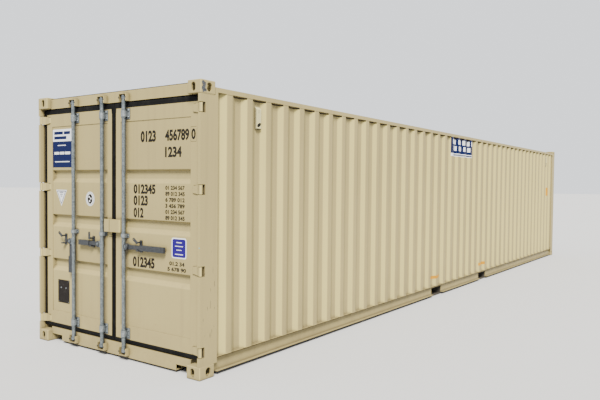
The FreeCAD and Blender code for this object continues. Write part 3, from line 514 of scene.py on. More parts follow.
def vinyl(name, colour, worn=0.06, rough=0.38):
    """Printed film: faded in clouds with a slight orange peel."""
    f = Finish(name)
    cloud = f.noise(11.0, 4.0)
    tint = f.blend(f.remap(cloud, 0.35, 0.65), shade(colour, 1 - worn), shade(colour, 1 + worn))
    f.bump(f.noise(150.0, 2.0), 0.08, 0.0004)
    return f.finish(tint, f.remap(cloud, 0.3, 0.7, rough - 0.05, rough + 0.08), Specular_IOR_Level=0.08)


def bare_steel(name):
    """Metal where the paint is scraped off: bright scores in grey, with brown edges."""
    f = Finish(name)
    scores = f.noise(1.0, 5.0, 0.7, f.stretched((260.0, 30.0, 120.0)))
    tint = f.blend(f.remap(scores, 0.35, 0.65), (0.030, 0.032, 0.033), (0.125, 0.135, 0.142))
    tint = f.blend(f.remap(f.noise(70.0, 3.0), 0.58, 0.7, 0.0, 0.6), tint, (0.17, 0.09, 0.045))
    f.bump(scores, 0.4, 0.0006)
    return f.finish(tint, f.remap(scores, 0.3, 0.7, 0.35, 0.6), metallic=0.8)


def plate_metal(name):
    """A printed plate: brushed dark metal, rubbed lighter in places."""
    f = Finish(name)
    brushed = f.noise(1.0, 4.0, 0.6, f.stretched((6.0, 6.0, 420.0)))
    rubbed = f.remap(f.noise(30.0, 4.0), 0.55, 0.75, 0.0, 0.5)
    dark = f.blend(brushed, (0.005, 0.004, 0.0035), (0.010, 0.008, 0.007))
    tint = f.blend(rubbed, dark, (0.026, 0.022, 0.019))
    f.bump(brushed, 0.15, 0.0003)
    return f.finish(tint, f.remap(brushed, 0.3, 0.7, 0.4, 0.55), metallic=0.1, Specular_IOR_Level=0.08)


def studio_floor(name, colour):
    """A pale matt floor with the faintest unevenness."""
    f = Finish(name)
    cloud = f.noise(0.35, 4.0)
    tint = f.blend(f.remap(cloud, 0.3, 0.7), shade(colour, 0.985), shade(colour, 1.0))
    return f.finish(tint, 0.9, Specular_IOR_Level=0.1)


# Settings

def a_colour(name, description, default):
    """A colour setting."""
    return FloatVectorProperty(name=name, description=description, subtype="COLOR", size=3, min=0, max=1,
                               default=default)


def a_length(name, description, default):
    """A length setting, in metres."""
    return FloatProperty(name=name, description=description, unit="LENGTH", default=default)


def a_share(name, description, default):
    """A setting from 0 to 1."""
    return FloatProperty(name=name, description=description, min=0, max=1, default=default)


def an_angle(name, description, default):
    """An angle setting, in radians."""
    return FloatProperty(name=name, description=description, subtype="ANGLE", default=default)


class ContainerPaint(bpy.types.PropertyGroup):
    """The enamel on the steel."""
    colour: a_colour("Colour", "Enamel on the walls, frame and doors", (0.236, 0.192, 0.081))
    # Used for the rain streaks and the dust, and, darkened, for the painted shade in corners and gaps.
    dirt_and_shade_colour: a_colour("Dirt", "Rain streaks and dust", (0.105, 0.080, 0.043))
    rust_colour: a_colour("Rust", "Steel where the enamel has chipped", (0.080, 0.034, 0.015))
    fade: FloatProperty(name="Fade", description="How much the enamel varies in lightness", min=0, max=0.3,
                        default=0.035)
    streaks: a_share("Streaks", "Strength of the rain streaks", 0.22)
    dust: a_share("Dust", "Strength of the dust low down", 0.35)
    # Strength of the painted shade in corners and gaps.
    corner_shade: a_share("Grime", "Strength of the dirt in corners and gaps", 0.95)
    # Painted highlight: a lighter colour on the wall slopes that face the doors.
    highlight_colour: a_colour("Bloom colour", "Chalky enamel", (0.420, 0.358, 0.122))
    bloom: a_share("Bloom", "Chalky bloom on the wall slopes that face the doors", 0.5)
    roughness: FloatProperty(name="Roughness", description="Gloss of the enamel", min=0.1, max=0.9,
                             default=0.52)


class ContainerSheets(bpy.types.PropertyGroup):
    """The pressed sheets."""
    thickness: a_length("Thickness", "Sheet steel", 0.002)
    wall_pitch: a_length("Wall pitch", "From wave to wave of a side wall", 0.2733)
    wall_flat: a_length("Wall recess", "Flat of a recess", 0.070)
    wall_slope: a_length("Wall slope", "Run of a slope", 0.068)
    front_pitch: a_length("Front pitch", "From wave to wave of the front wall", 0.250)
    front_flat: a_length("Front recess", "Flat of a recess", 0.080)
    front_slope: a_length("Front slope", "Run of a slope", 0.030)
    roof_pitch: a_length("Roof pitch", "From wave to wave of the roof", 0.209)
    roof_flat: a_length("Roof recess", "Flat of a recess", 0.091)
    roof_slope: a_length("Roof slope", "Run of a slope", 0.0135)
    groove_pitch: a_length("Door groove pitch", "From groove to groove of a door", 0.467)
    bend: a_length("Bend", "How far each bend reaches from its corner", 0.011)
    dents: a_length("Dents", "Depth of the sheets' unevenness", 0.0009)


class ContainerSeals(bpy.types.PropertyGroup):
    """The rubber round the doors."""
    lap: a_length("Lap", "Rubber over the edge of each leaf", 0.010)
    flare: a_length("Flare", "Rubber corner at the top of the seam", 0.015)
    flare_drop: a_length("Flare drop", "How far the corner runs down the seam", 0.085)


class ContainerFixings(bpy.types.PropertyGroup):
    """Bolts, rivets and welds."""
    bolt_radius: a_length("Bolt", "Bolt head across its corners, halved", 0.010)
    bolt_height: a_length("Bolt height", "Head with its washer", 0.008)
    rivet_radius: a_length("Rivet", "Rivet head", 0.005)
    weld: a_length("Weld", "Radius of a weld bead", 0.0035)
    screw_pitch: a_length("Screw pitch", "Between rows of floor screws", 0.300)


class ContainerMarks(bpy.types.PropertyGroup):
    """Signs, stickers and numerals."""
    ink: a_colour("Ink", "Numerals", (0.008, 0.007, 0.006))
    blue: a_colour("Blue", "Signs", (0.0007, 0.0038, 0.0340))
    violet: a_colour("Violet", "Sticker on the right door", (0.0130, 0.0050, 0.1000))
    white: a_colour("White", "Print on the signs", (0.46, 0.47, 0.47))
    yellow: a_colour("Yellow", "Patches over the fork pockets", (0.34, 0.155, 0.002))
    serial: StringProperty(name="Serial", description="Plain numerals on the first line", default="0123")


class ContainerStage(bpy.types.PropertyGroup):
    """The floor, the lights and the camera."""
    floor_colour: a_colour("Floor", "Floor colour", (0.38, 0.38, 0.378))
    floor_reach: a_length("Floor reach", "Half the floor's width", 160.0)
    sky: FloatProperty(name="Fill", description="Strength of the light from all round", min=0, default=1.5)
    sun: FloatProperty(name="Key", description="Strength of the key light", min=0, default=14.0)
    sun_angle: an_angle("Softness", "How wide the key light is", 0.35)
    azimuth: an_angle("Azimuth", "The way the camera looks, from +Y", math.radians(33.9733))
    elevation: an_angle("Elevation", "How far the camera looks down", math.radians(1.8746))
    roll: an_angle("Roll", "The camera's turn about its own line", math.radians(0.6369))
    lens: FloatProperty(name="Lens", description="Focal length in millimetres", min=1, default=36.302)


GROUPS = {"container_paint": ContainerPaint, "container_sheets": ContainerSheets,
          "container_seals": ContainerSeals, "container_fixings": ContainerFixings,
          "container_marks": ContainerMarks, "container_stage": ContainerStage}


# Operators

class CONTAINER_OT_stage(bpy.types.Operator):
    """Set out the floor, the soft lights and the camera"""
    bl_idname = "container.stage"
    bl_label = "Stage"

    def execute(self, context):
        scene, s = context.scene, context.scene.container_stage
        reach = s.floor_reach
        mesh = bpy.data.meshes.new("studio_floor")
        line = np.linspace(-reach, reach, 9)
        x, y = np.meshgrid(line, line, indexing="ij")
        mesh.from_pydata(spread(x, y, -0.0005).reshape(-1, 3), [], weave(9, 9)[:, ::-1])
        mesh.materials.append(studio_floor("studio_floor", s.floor_colour))
        floor = bpy.data.objects.new("studio_floor", mesh)
        scene.collection.objects.link(floor)

        world = bpy.data.worlds.new("studio")
        world.use_nodes = True
        back = world.node_tree.nodes["Background"]
        back.inputs["Color"].default_value = (0.93, 0.96, 1.0, 1.0)
        back.inputs["Strength"].default_value = s.sky
        scene.world = world

        light = bpy.data.lights.new("key", "SUN")
        light.energy = s.sun
        light.angle = s.sun_angle
        light.color = (1.0, 0.965, 0.90)
        key = bpy.data.objects.new("key", light)
        towards = np.array(SUN_TOWARDS)
        towards /= np.linalg.norm(towards)
        across = np.cross([0.0, 0.0, 1.0], towards)
        across /= np.linalg.norm(across)
        turned = np.eye(4)
        turned[:3, :3] = np.stack([across, np.cross(towards, across), towards], -1)
        turned[:3, 3] = SUN_PLACE
        key.matrix_world = Matrix(turned)
        scene.collection.objects.link(key)

        az, el, roll = s.azimuth, s.elevation, s.roll
        forward = np.array([-math.sin(az) * math.cos(el), math.cos(az) * math.cos(el), -math.sin(el)])
        right = np.cross(forward, [0.0, 0.0, 1.0])
        right /= np.linalg.norm(right)
        up = np.cross(right, forward)
        tilted = math.cos(roll) * right + math.sin(roll) * up
        upright = -math.sin(roll) * right + math.cos(roll) * up
        stand = np.eye(4)
        stand[:3, :3] = np.stack([tilted, upright, -forward], -1)
        stand[:3, 3] = CAMERA_PLACE
        data = bpy.data.cameras.new("camera")
        data.lens = s.lens
        data.sensor_width = 36.0
        data.sensor_fit = "HORIZONTAL"
        data.shift_x, data.shift_y = CAMERA_SHIFT
        data.clip_end = 600.0
        camera = bpy.data.objects.new("camera", data)
        camera.matrix_world = Matrix(stand)
        scene.collection.objects.link(camera)
        scene.camera = camera
        return {"FINISHED"}


class CONTAINER_OT_finishes(bpy.types.Operator):
    """Make the finishes and give each steel part that stays its own"""
    bl_idname = "container.finishes"
    bl_label = "Finishes"

    def execute(self, context):
        p, m = context.scene.container_paint, context.scene.container_marks
        FINISHES.update({
            "enamel": paint("enamel", p),
            "worn_enamel": paint("worn_enamel", p, wear=1.0),
            "zinc": zinc("zinc", (0.155, 0.180, 0.188), (0.042, 0.051, 0.056), 0.36, 0.3),
            "dull_zinc": zinc("dull_zinc", (0.042, 0.046, 0.050), (0.014, 0.0155, 0.018), 0.55, 0.5),
            "bright_zinc": zinc("bright_zinc", (0.215, 0.24, 0.25), (0.08, 0.09, 0.095), 0.40, 0.3),
            "rubber": rubber("rubber"),
            "plywood": plywood("plywood"),
            "undercoat": undercoat("undercoat"),
            "cream": paint("cream", p, base=(0.37, 0.335, 0.17)),
            "blue": vinyl("blue", m.blue),
            "violet": vinyl("violet", m.violet),
            "white": vinyl("white", m.white, worn=0.03),
            "yellow": vinyl("yellow", m.yellow, worn=0.12),
            "ink": vinyl("ink", m.ink, worn=0.35, rough=0.55),
            # Painted shade: a near black film where an opening shows only its shaded inside.
            "dark_hole": vinyl("dark_hole", (0.010, 0.009, 0.007), rough=0.8),
            # Painted shadow: a dark film for the shade under the wall rails.
            "sealant": vinyl("sealant", (0.024, 0.017, 0.009), worn=0.4, rough=0.8),
            "bare_steel": bare_steel("bare_steel"),
            "plate_metal": plate_metal("plate_metal"),
            "spot_blue": vinyl("spot_blue", (0.10, 0.28, 0.33)),
        })
        by_ending = [
            ("corner_fittings", "worn_enamel"), ("_sill", "worn_enamel"), ("_bottom_rail", "worn_enamel"),
            ("_lock_rod", "zinc"), ("_rod_brackets", "bright_zinc"), ("hinge_pins", "worn_enamel"),
            ("_handle", "dull_zinc"), ("_catch_flap", "dull_zinc"), ("_handle_catches", "dull_zinc"),
            ("_door_gasket", "rubber"),
            ("floor", "plywood"), ("vents", "cream"), ("data_plate", "plate_metal"),
            ("cross_members", "undercoat"), ("gooseneck_tunnel", "undercoat"), ("fork_pockets", "undercoat"),
            ("", "enamel"),
        ]
        for name, steel in frame["nodes"].items():
            finish = next(finish for ending, finish in by_ending if name.endswith(ending))
            steel.data.materials.clear()
            steel.data.materials.append(FINISHES[finish])
        return {"FINISHED"}


def wall_line(sheets):
    """A side wall's eased outline, as (y, x) pairs for the right-hand wall's outer face."""
    corners = waves(WALL[0][1], WALL[1][1], sheets.wall_pitch, sheets.wall_flat, sheets.wall_slope,
                    WALL[1][0] - WALL[0][0] - sheets.thickness)
    line = bent(corners, sheets.bend)
    return np.stack([line[:, 0], WALL[0][0] + sheets.thickness + line[:, 1]], -1)


class CONTAINER_OT_side_walls(bpy.types.Operator):
    """Press the two corrugated side walls: an eased outline carried from the bottom rail to the top rail"""
    bl_idname = "container.side_walls"
    bl_label = "Side walls"

    def execute(self, context):
        sheets = context.scene.container_sheets
        line = wall_line(sheets)
        height = np.linspace(WALL[0][2], WALL[1][2], 12)[:, None]
        held = np.sin(np.pi * (height - WALL[0][2]) / (WALL[1][2] - WALL[0][2]))
        for name, side in (("left", -1), ("right", 1)):
            y = np.broadcast_to(line[:, 0], (12, len(line)))
            x = line[:, 1] - sheets.dents * (1 + unevenness(y, height, 1.0, side + 5)) * held
            grid = spread(side * x, y, height)
            make(name + "_wall_sheet", [shell(grid, np.array([-side * sheets.thickness, 0, 0]))], "enamel",
                 replaces=[name + "_wall"], crease=60)
        return {"FINISHED"}


class CONTAINER_OT_front_wall(bpy.types.Operator):
    """Press the corrugated front wall: an eased outline carried from the floor to the header"""
    bl_idname = "container.front_wall"
    bl_label = "Front wall"

    def execute(self, context):
        sheets = context.scene.container_sheets
        depth = FRONT[1][1] - FRONT[0][1] - sheets.thickness
        corners = waves(FRONT[0][0], FRONT[1][0], sheets.front_pitch, sheets.front_flat, sheets.front_slope,
                        depth)
        line = bent(corners, sheets.bend * 0.7)
        height = np.linspace(FRONT[0][2], FRONT[1][2], 10)[:, None]
        held = np.sin(np.pi * (height - FRONT[0][2]) / (FRONT[1][2] - FRONT[0][2]))
        x = np.broadcast_to(line[:, 0], (10, len(line)))
        y = FRONT[0][1] + sheets.thickness + line[:, 1]
        y = y - sheets.dents * (1 + unevenness(x, height, 1.0, 3)) * held
        grid = spread(x, y, height)
        make("front_wall_sheet", [shell(grid, np.array([0, -sheets.thickness, 0]))], "enamel",
             replaces=["front_wall"], crease=60)
        return {"FINISHED"}


class CONTAINER_OT_roof(bpy.types.Operator):
    """Press the roof: waves along the container, faded out towards the rails by a smooth step"""
    bl_idname = "container.roof"
    bl_label = "Roof"

    def execute(self, context):
        sheets = context.scene.container_sheets
        low, high = ROOF
        depth = high[2] - low[2] - sheets.thickness
        corners = waves(low[1], high[1], sheets.roof_pitch, sheets.roof_flat, sheets.roof_slope, depth)
        line = bent(corners, 0.005)
        stops = (low[1], low[1] + ROOF_ENDS[0], high[1] - ROOF_ENDS[1], high[1])
        narrow = high[0] - ROOF_NARROWED
        pieces = []
        for (start, end), reach in zip(zip(stops, stops[1:]), (narrow, high[0], narrow)):
            inside = line[(line[:, 0] > start) & (line[:, 0] < end)]
            ends = np.interp([start, end], line[:, 0], line[:, 1])
            part = np.concatenate([[[start, ends[0]]], inside, [[end, ends[1]]]])
            share = np.concatenate([[0, 0.03, 0.045, 0.06, 0.075, 0.09], np.linspace(0.14, 0.86, 15),
                                    [0.91, 0.925, 0.94, 0.955, 0.97, 1]])
            x = (2 * share - 1) * reach
            edge = np.clip((reach - np.abs(x) - 0.055) / 0.11, 0, 1)
            fade = edge * edge * (3 - 2 * edge)
            y = np.broadcast_to(part[:, :1], (len(part), len(x)))
            sag = sheets.dents * unevenness(x[None], y, 1.0, 11) * fade
            z = high[2] - depth + part[:, 1:] * fade[None] - np.abs(sag)
            grid = spread(x, y, z)
            pieces.append(shell(grid, np.array([0, 0, -sheets.thickness])))
        make("roof_sheets", pieces, "enamel", replaces=["roof"], crease=50)
        return {"FINISHED"}


def groove_line(sheets):
    """A door panel's eased outline, as (z, depth) pairs.

    It has three grooves, each with a long slope below and a short one above.
    """
    low, high = PANELS["right"]
    depth = high[1] - low[1] - sheets.thickness
    middle = (low[2] + high[2]) / 2 - GROOVE_DROP + sheets.groove_pitch * np.arange(-1, 2)
    foot = middle - GROOVE_HALF
    place = np.stack([foot + corner for corner in GROOVE], -1).ravel()
    sink = np.tile([0.0, depth, depth, 0.0], 3)
    return bent(np.stack([np.r_[low[2], place, high[2]], np.r_[0.0, sink, 0.0]], -1), 0.007)


class CONTAINER_OT_door_panels(bpy.types.Operator):
    """Press the door panels: an eased outline with three level grooves, carried across each leaf"""
    bl_idname = "container.door_panels"
    bl_label = "Door panels"

    def execute(self, context):
        sheets = context.scene.container_sheets
        line = groove_line(sheets)
        for side, (low, high) in PANELS.items():
            x = np.linspace(low[0], high[0], 24)
            held = np.sin(np.pi * (x - low[0]) / (high[0] - low[0]))
            z = np.broadcast_to(line[:, :1], (len(line), len(x)))
            dent = sheets.dents * (1 + unevenness(x[None] * 3, z * 2, 1.0, len(side))) * held
            y = low[1] + line[:, 1:] + dent
            grid = spread(x, y, z)
            make(side + "_door_sheet", [shell(grid, np.array([0, sheets.thickness, 0]))], "enamel",
                 body=side + "_door", replaces=[side + "_door_panel"], crease=60)
        return {"FINISHED"}


class CONTAINER_OT_seals(bpy.types.Operator):
    """Run the rubber round each leaf: a lipped outline carried round a rectangle with mitred corners"""
    bl_idname = "container.seals"
    bl_label = "Door seals"

    def execute(self, context):
        s = context.scene.container_seals
        turn = np.linspace(0, 1, 9)
        lip = np.stack([0.80 + 0.20 * np.sin(np.pi * turn), 0.02 + 0.24 * turn], -1)
        back = np.stack([0.80 + 0.20 * np.sin(np.pi * turn), 0.66 + 0.32 * turn], -1)
        profile = np.concatenate([[[0.0, 0.01], [0.16, 0.0], [0.38, 0.02], [0.58, 0.0]], lip,
                                  [[0.70, 0.40], [0.70, 0.55]], back, [[0.3, 1.0], [0.0, 0.94]]])
        for side, sign in (("left", -1), ("right", 1)):
            (leaf_low, leaf_high), (low, high) = LEAVES[side]
            inner = np.array([[leaf_low[0], leaf_low[2]], [leaf_high[0], leaf_low[2]],
                              [leaf_high[0], leaf_high[2]], [leaf_low[0], leaf_high[2]]])
            outer = np.array([[low[0], low[2]], [high[0], low[2]], [high[0], high[2]], [low[0], high[2]]])
            flat = inner[:, None] + profile[None, :, :1] * (outer - inner)[:, None]
            face = LEAF_FACE + 0.0002
            y = np.broadcast_to(face + profile[:, 1] * (high[1] - face), flat.shape[:2])
            points = np.stack([flat[..., 0], y, flat[..., 1]], -1).reshape(-1, 3)
            pieces = [(points, weave(4, len(profile), True, True))]
            spread = np.array([[1, 1], [-1, 1], [-1, -1], [1, -1]]) * s.lap
            edges = np.stack([inner + spread, inner - spread, inner - spread, inner + spread], 1)
            depth = np.broadcast_to(LEAF_FACE + np.array([-0.0015, -0.0015, 0.0010, 0.0010]), (4, 4))
            points = np.stack([edges[..., 0], depth, edges[..., 1]], -1).reshape(-1, 3)
            pieces.append((points, weave(4, 4, True, True)))
            seam = leaf_low[0] if sign > 0 else leaf_high[0]
            corner = np.array([[seam, leaf_high[2]], [seam + sign * s.flare, leaf_high[2]],
                               [seam + sign * s.flare * 0.8, leaf_high[2] - s.flare_drop * 0.5],
                               [seam, leaf_high[2] - s.flare_drop]])
            pieces.append(plate(corner, LEAF_FACE, 0.004, TO_DOORS))
            make(side + "_door_seal", pieces, "rubber", body=side + "_door",
                 replaces=[side + "_door_gasket"])
        return {"FINISHED"}


class CONTAINER_OT_rod_fixings(bpy.types.Operator):
    """Fit the bolts of the rod brackets, guides and catches, the handle pivots and the collars on the rods"""
    bl_idname = "container.rod_fixings"
    bl_label = "Rod fixings"

    def execute(self, context):
        f = context.scene.container_fixings
        leaf_low, leaf_high = LEAVES["right"][0]
        ends = (leaf_low[2] + 0.070, leaf_high[2] - 0.070)
        rod_y = frame["joints"][2]["pos_m"][1]
        for side in ("left", "right"):
            places, small = [], []
            for name, sign in RODS.items():
                if (sign < 0) != (side == "left"):
                    continue
                x = rod_place(name)
                pivot_x, pivot_z = lift_place(name)
                places += [[x + 0.044, LEAF_FACE - 0.006, z + dz]
                           for z in ends for dz in (-BRACKET_HALF, BRACKET_HALF)]
                small.append([x + 0.036, PANEL_FACE - 0.006, pivot_z + 0.102])
                catch = pivot_x + sign * CATCH_REACH[sign]
                small += [[catch + dx, PANEL_FACE - 0.005, pivot_z - 0.036] for dx in (-0.010, 0.010)]
            pieces = bolt_heads(places, TO_DOORS, f.bolt_radius, f.bolt_height)
            pieces += bolt_heads(small, TO_DOORS, f.bolt_radius * 0.65, f.bolt_height * 0.7)
            make(side + "_bracket_bolts", pieces, "zinc", body=side + "_door")
        for name in RODS:
            x = rod_place(name)
            pivot_x, pivot_z = lift_place(name)
            ring = [[0.0182, 0.0], [0.0225, 0.0015], [0.0225, 0.0105], [0.0182, 0.012]]
            collars = [[x, rod_y, z + dz]
                       for z in ends for dz in (-BRACKET_HALF - 0.0125, BRACKET_HALF + 0.0005)]
            pieces = [lathe(ring, collars, (0, 0, 1), 32)]
            hub_face = limits(name + "_lock_rod")[0][1]
            pieces += bolt_heads([[pivot_x, hub_face, pivot_z]], TO_DOORS, f.bolt_radius * 1.2, 0.006)
            make(name + "_rod_collars", pieces, "zinc", body=name + "_rod")
            sleeve = capped([[0.029, -0.0360], [0.0306, -0.0345], [0.0306, -0.0010], [0.0292, 0.0004]])
            make(name + "_hub_sleeve", [lathe(sleeve, [[pivot_x, hub_face, pivot_z]], TO_DOORS, 32)],
                 "dull_zinc", body=name + "_rod")
        keepers = limits("header_keepers"), limits("sill_keepers")
        seats = [[rod_place(name) + dx, low[1], (low[2] + high[2]) / 2] for low, high in keepers
                 for name in RODS for dx in (-0.047, 0.047)]
        make("keeper_bolts", bolt_heads(seats, TO_DOORS, f.bolt_radius * 0.62, f.bolt_height * 0.5),
             "dull_zinc")
        return {"FINISHED"}


class CONTAINER_OT_lock_tab(bpy.types.Operator):
    """Fit the small ledge under the padlock's cover"""
    bl_idname = "container.lock_tab"
    bl_label = "Padlock ledge"

    def execute(self, context):
        low = limits("left_lock_box")[0]
        outline = rounded([low[0] + 0.040, low[2] - 0.043], [low[0] + 0.086, low[2] - 0.034], 0.003)
        make("padlock_ledge", [plate(outline, LEAF_FACE, 0.012, TO_DOORS)], "enamel", body="left_door")
        return {"FINISHED"}


class CONTAINER_OT_welds(bpy.types.Operator):
    """Lay the weld beads along the walls, the frame, the door panels and the hinges"""
    bl_idname = "container.welds"
    bl_label = "Welds"

    def execute(self, context):
        sheets, r = context.scene.container_sheets, context.scene.container_fixings.weld
        line = wall_line(sheets)
        beads = []
        for side in (-1, 1):
            for z, up in ((WALL[0][2] + 0.4 * r, 1), (WALL[1][2] - 0.4 * r, -1)):
                path = spread(side * (line[:, 1] - 0.15 * r), line[:, 0], z)
                beads.append(tube(path, r, (0, 0, up), 6))
            for y in (WALL[0][1] + 0.3 * r, WALL[1][1] - 0.3 * r):
                z = np.linspace(WALL[0][2], WALL[1][2], 500)
                path = spread(side * line[0, 1], y, z)
                beads.append(tube(path, r, (side, 0, 0), 6, 0.25))
        header, sill = limits("door_header"), limits("door_sill")
        fitting = limits("top_corner_fittings")
        for side in (-1, 1):
            joint = np.linspace(header[0][2] + 0.01, header[1][2], 24)
            for y in (header[0][1], -header[0][1] + 0.0445):
                path = spread(side * header[1][0], y, joint)
                beads.append(tube(path, r * 0.9, (0, np.sign(y), 0), 6, 0.25, 0.01))
            for z in (POST[0][2], fitting[0][2]):
                y = np.linspace(DOOR_END + 0.010, DOOR_END + 0.170, 40)
                path = spread(side * (POST[1][0] - 0.0014), y, z)
                beads.append(tube(path, r * 0.9, (side, 0, 0), 6, 0.25, 0.01))
                beads.append(tube(path * [1, -1, 1], r * 0.9, (side, 0, 0), 6, 0.25, 0.01))
            low_joint = np.linspace(sill[0][2] + 0.01, sill[0][2] + 0.090, 20)
            path = spread(side * header[1][0], sill[0][1], low_joint)
            beads.append(tube(path, r * 0.9, TO_DOORS, 6, 0.25, 0.01))
        make("frame_welds", beads, "enamel")
        for side, (low, high) in PANELS.items():
            beads = []
            groove = groove_line(sheets)
            for x in (low[0], high[0]):
                path = spread(x, low[1] + groove[:, 1] - 0.2 * r, groove[:, 0])
                beads.append(tube(path, r * 0.8, TO_DOORS, 6))
            for z in (low[2], high[2]):
                x = np.linspace(low[0], high[0], 160)
                path = spread(x, low[1] - 0.2 * r, z)
                beads.append(tube(path, r * 0.8, TO_DOORS, 6, 0.2))
            hinges = limits(side + "_door_hinges")
            tip = hinges[0][0] if side == "right" else hinges[1][0]
            lean = 1 if side == "right" else -1
            for middle in np.linspace(hinges[0][2] + 0.040, hinges[1][2] - 0.040, 4):
                for dz in (-0.040, 0.040):
                    x = np.linspace(tip + lean * 0.014, tip + lean * 0.078, 24)
                    path = spread(x, LEAF_FACE, middle + dz * 0.97)
                    beads.append(tube(path, r * 0.8, TO_DOORS, 6, 0.25, 0.009))
            make(side + "_door_welds", beads, "enamel", body=side + "_door")
        return {"FINISHED"}


def on_wall(sheets, ys, zs, lift, columns=200, rows=3):
    """A film that follows a side wall: x is read off the wall's outline at each y, and lifted clear."""
    line = wall_line(sheets)
    y = np.linspace(ys[0], ys[1], columns)
    kinks = line[(line[:, 0] > ys[0]) & (line[:, 0] < ys[1]), 0]
    y = np.unique(np.concatenate([y, kinks]))
    x = np.interp(y, line[:, 0], line[:, 1]) + lift
    z = np.linspace(zs[0], zs[1], rows)
    grid = spread(x, y, z[:, None])
    return shell(grid, np.array([-MARK_THICK, 0, 0]))


class CONTAINER_OT_painted_shadow(bpy.types.Operator):
    """Lay painted shadow: dark strips under the top rails in the recesses, and a dark line along the ledge of
    the bottom rails
    """
    bl_idname = "container.sealant"
    bl_label = "Painted shadow"

    def execute(self, context):
        sheets = context.scene.container_sheets
        depth = WALL[1][0] - WALL[0][0] - sheets.thickness
        corners = waves(WALL[0][1], WALL[1][1], sheets.wall_pitch, sheets.wall_flat, sheets.wall_slope, depth)
        starts, ends = corners[4:-5:4, 0] - sheets.wall_slope, corners[5:-4:4, 0] + sheets.wall_slope
        recesses = np.stack([starts, ends], -1)
        inset = 0.12 * sheets.wall_slope
        # Painted shadow under the top rail, one dark strip in each recess.
        heights = (WALL[1][2] - 0.017, WALL[1][2] - 0.0005)
        strips = [on_wall(sheets, (a + inset, b - inset), heights, 0.0012, 14, 2) for a, b in recesses]
        # Painted shadow along the bottom rail's ledge, under the foot of the wall.
        ledge = rounded([WALL[0][1], WALL[0][2] - 0.0055], [WALL[1][1], WALL[0][2] - 0.0002], 0.002)
        strips.append(plate(ledge, POST[1][0], 0.0006, (1, 0, 0)))
        both = strips + [(points * [-1, 1, 1], faces) for points, faces in strips]
        make("sealant", both, "sealant")
        return {"FINISHED"}


class CONTAINER_OT_wall_signs(bpy.types.Operator):
    """Stick the blue sign and the yellow patches to the right-hand wall, following its waves"""
    bl_idname = "container.wall_signs"
    bl_label = "Wall signs"

    def execute(self, context):
        sheets = context.scene.container_sheets
        y0, y1, z0, z1 = -0.595, 0.385, 2.190, 2.492
        strip = z0 + 0.048
        make("wall_sign_blue", [on_wall(sheets, (y0, y1), (strip, z1), 0.0006)], "blue")
        white = [on_wall(sheets, (y0, y1), (z0, strip), 0.0006)]
        for row, (low, high) in enumerate(((0.150, 0.225), (0.045, 0.120))):
            starts = np.arange(0.06 + 0.02 * row, 0.90, 0.118)
            for a, b in np.stack([starts, starts + 0.066], -1) * (y1 - y0) + y0:
                white.append(on_wall(sheets, (a, b), (strip + low, strip + high), 0.0010, 24, 2))
        make("wall_sign_white", white, "white")
        dark = [on_wall(sheets, (a, b), (z0 + 0.014, z0 + 0.034), 0.0010, 24, 2)
                for a, b in ((y0 + 0.08, y0 + 0.40), (y0 + 0.46, y0 + 0.62), (y0 + 0.68, y0 + 0.90))]
        make("wall_sign_bars", dark, "blue")
        patches = [on_wall(sheets, (-1.255, -0.943), (0.281, 0.325), 0.0008, 60),
                   on_wall(sheets, (0.770, 1.075), (0.280, 0.330), 0.0008, 60),
                   on_wall(sheets, (5.400, 5.600), (1.500, 1.690), 0.0008, 40)]
        make("yellow_patches", patches, "yellow")
        make("patch_mark", [on_wall(sheets, (0.900, 0.935), (0.295, 0.318), 0.0012, 12)], "ink")
        return {"FINISHED"}


def panel_film(outline, step=1):
    """A sticker's layer on a door panel, each layer over the last."""
    return plate(outline, PANEL_FACE - (step - 1) * MARK_THICK, MARK_THICK, TO_DOORS)


def bars(rows):
    """Rounded bars from (x0, x1, z0, z1) rows."""
    return [rounded([x0, z0], [x1, z1], min(0.003, (z1 - z0) * 0.3)) for x0, x1, z0, z1 in rows]


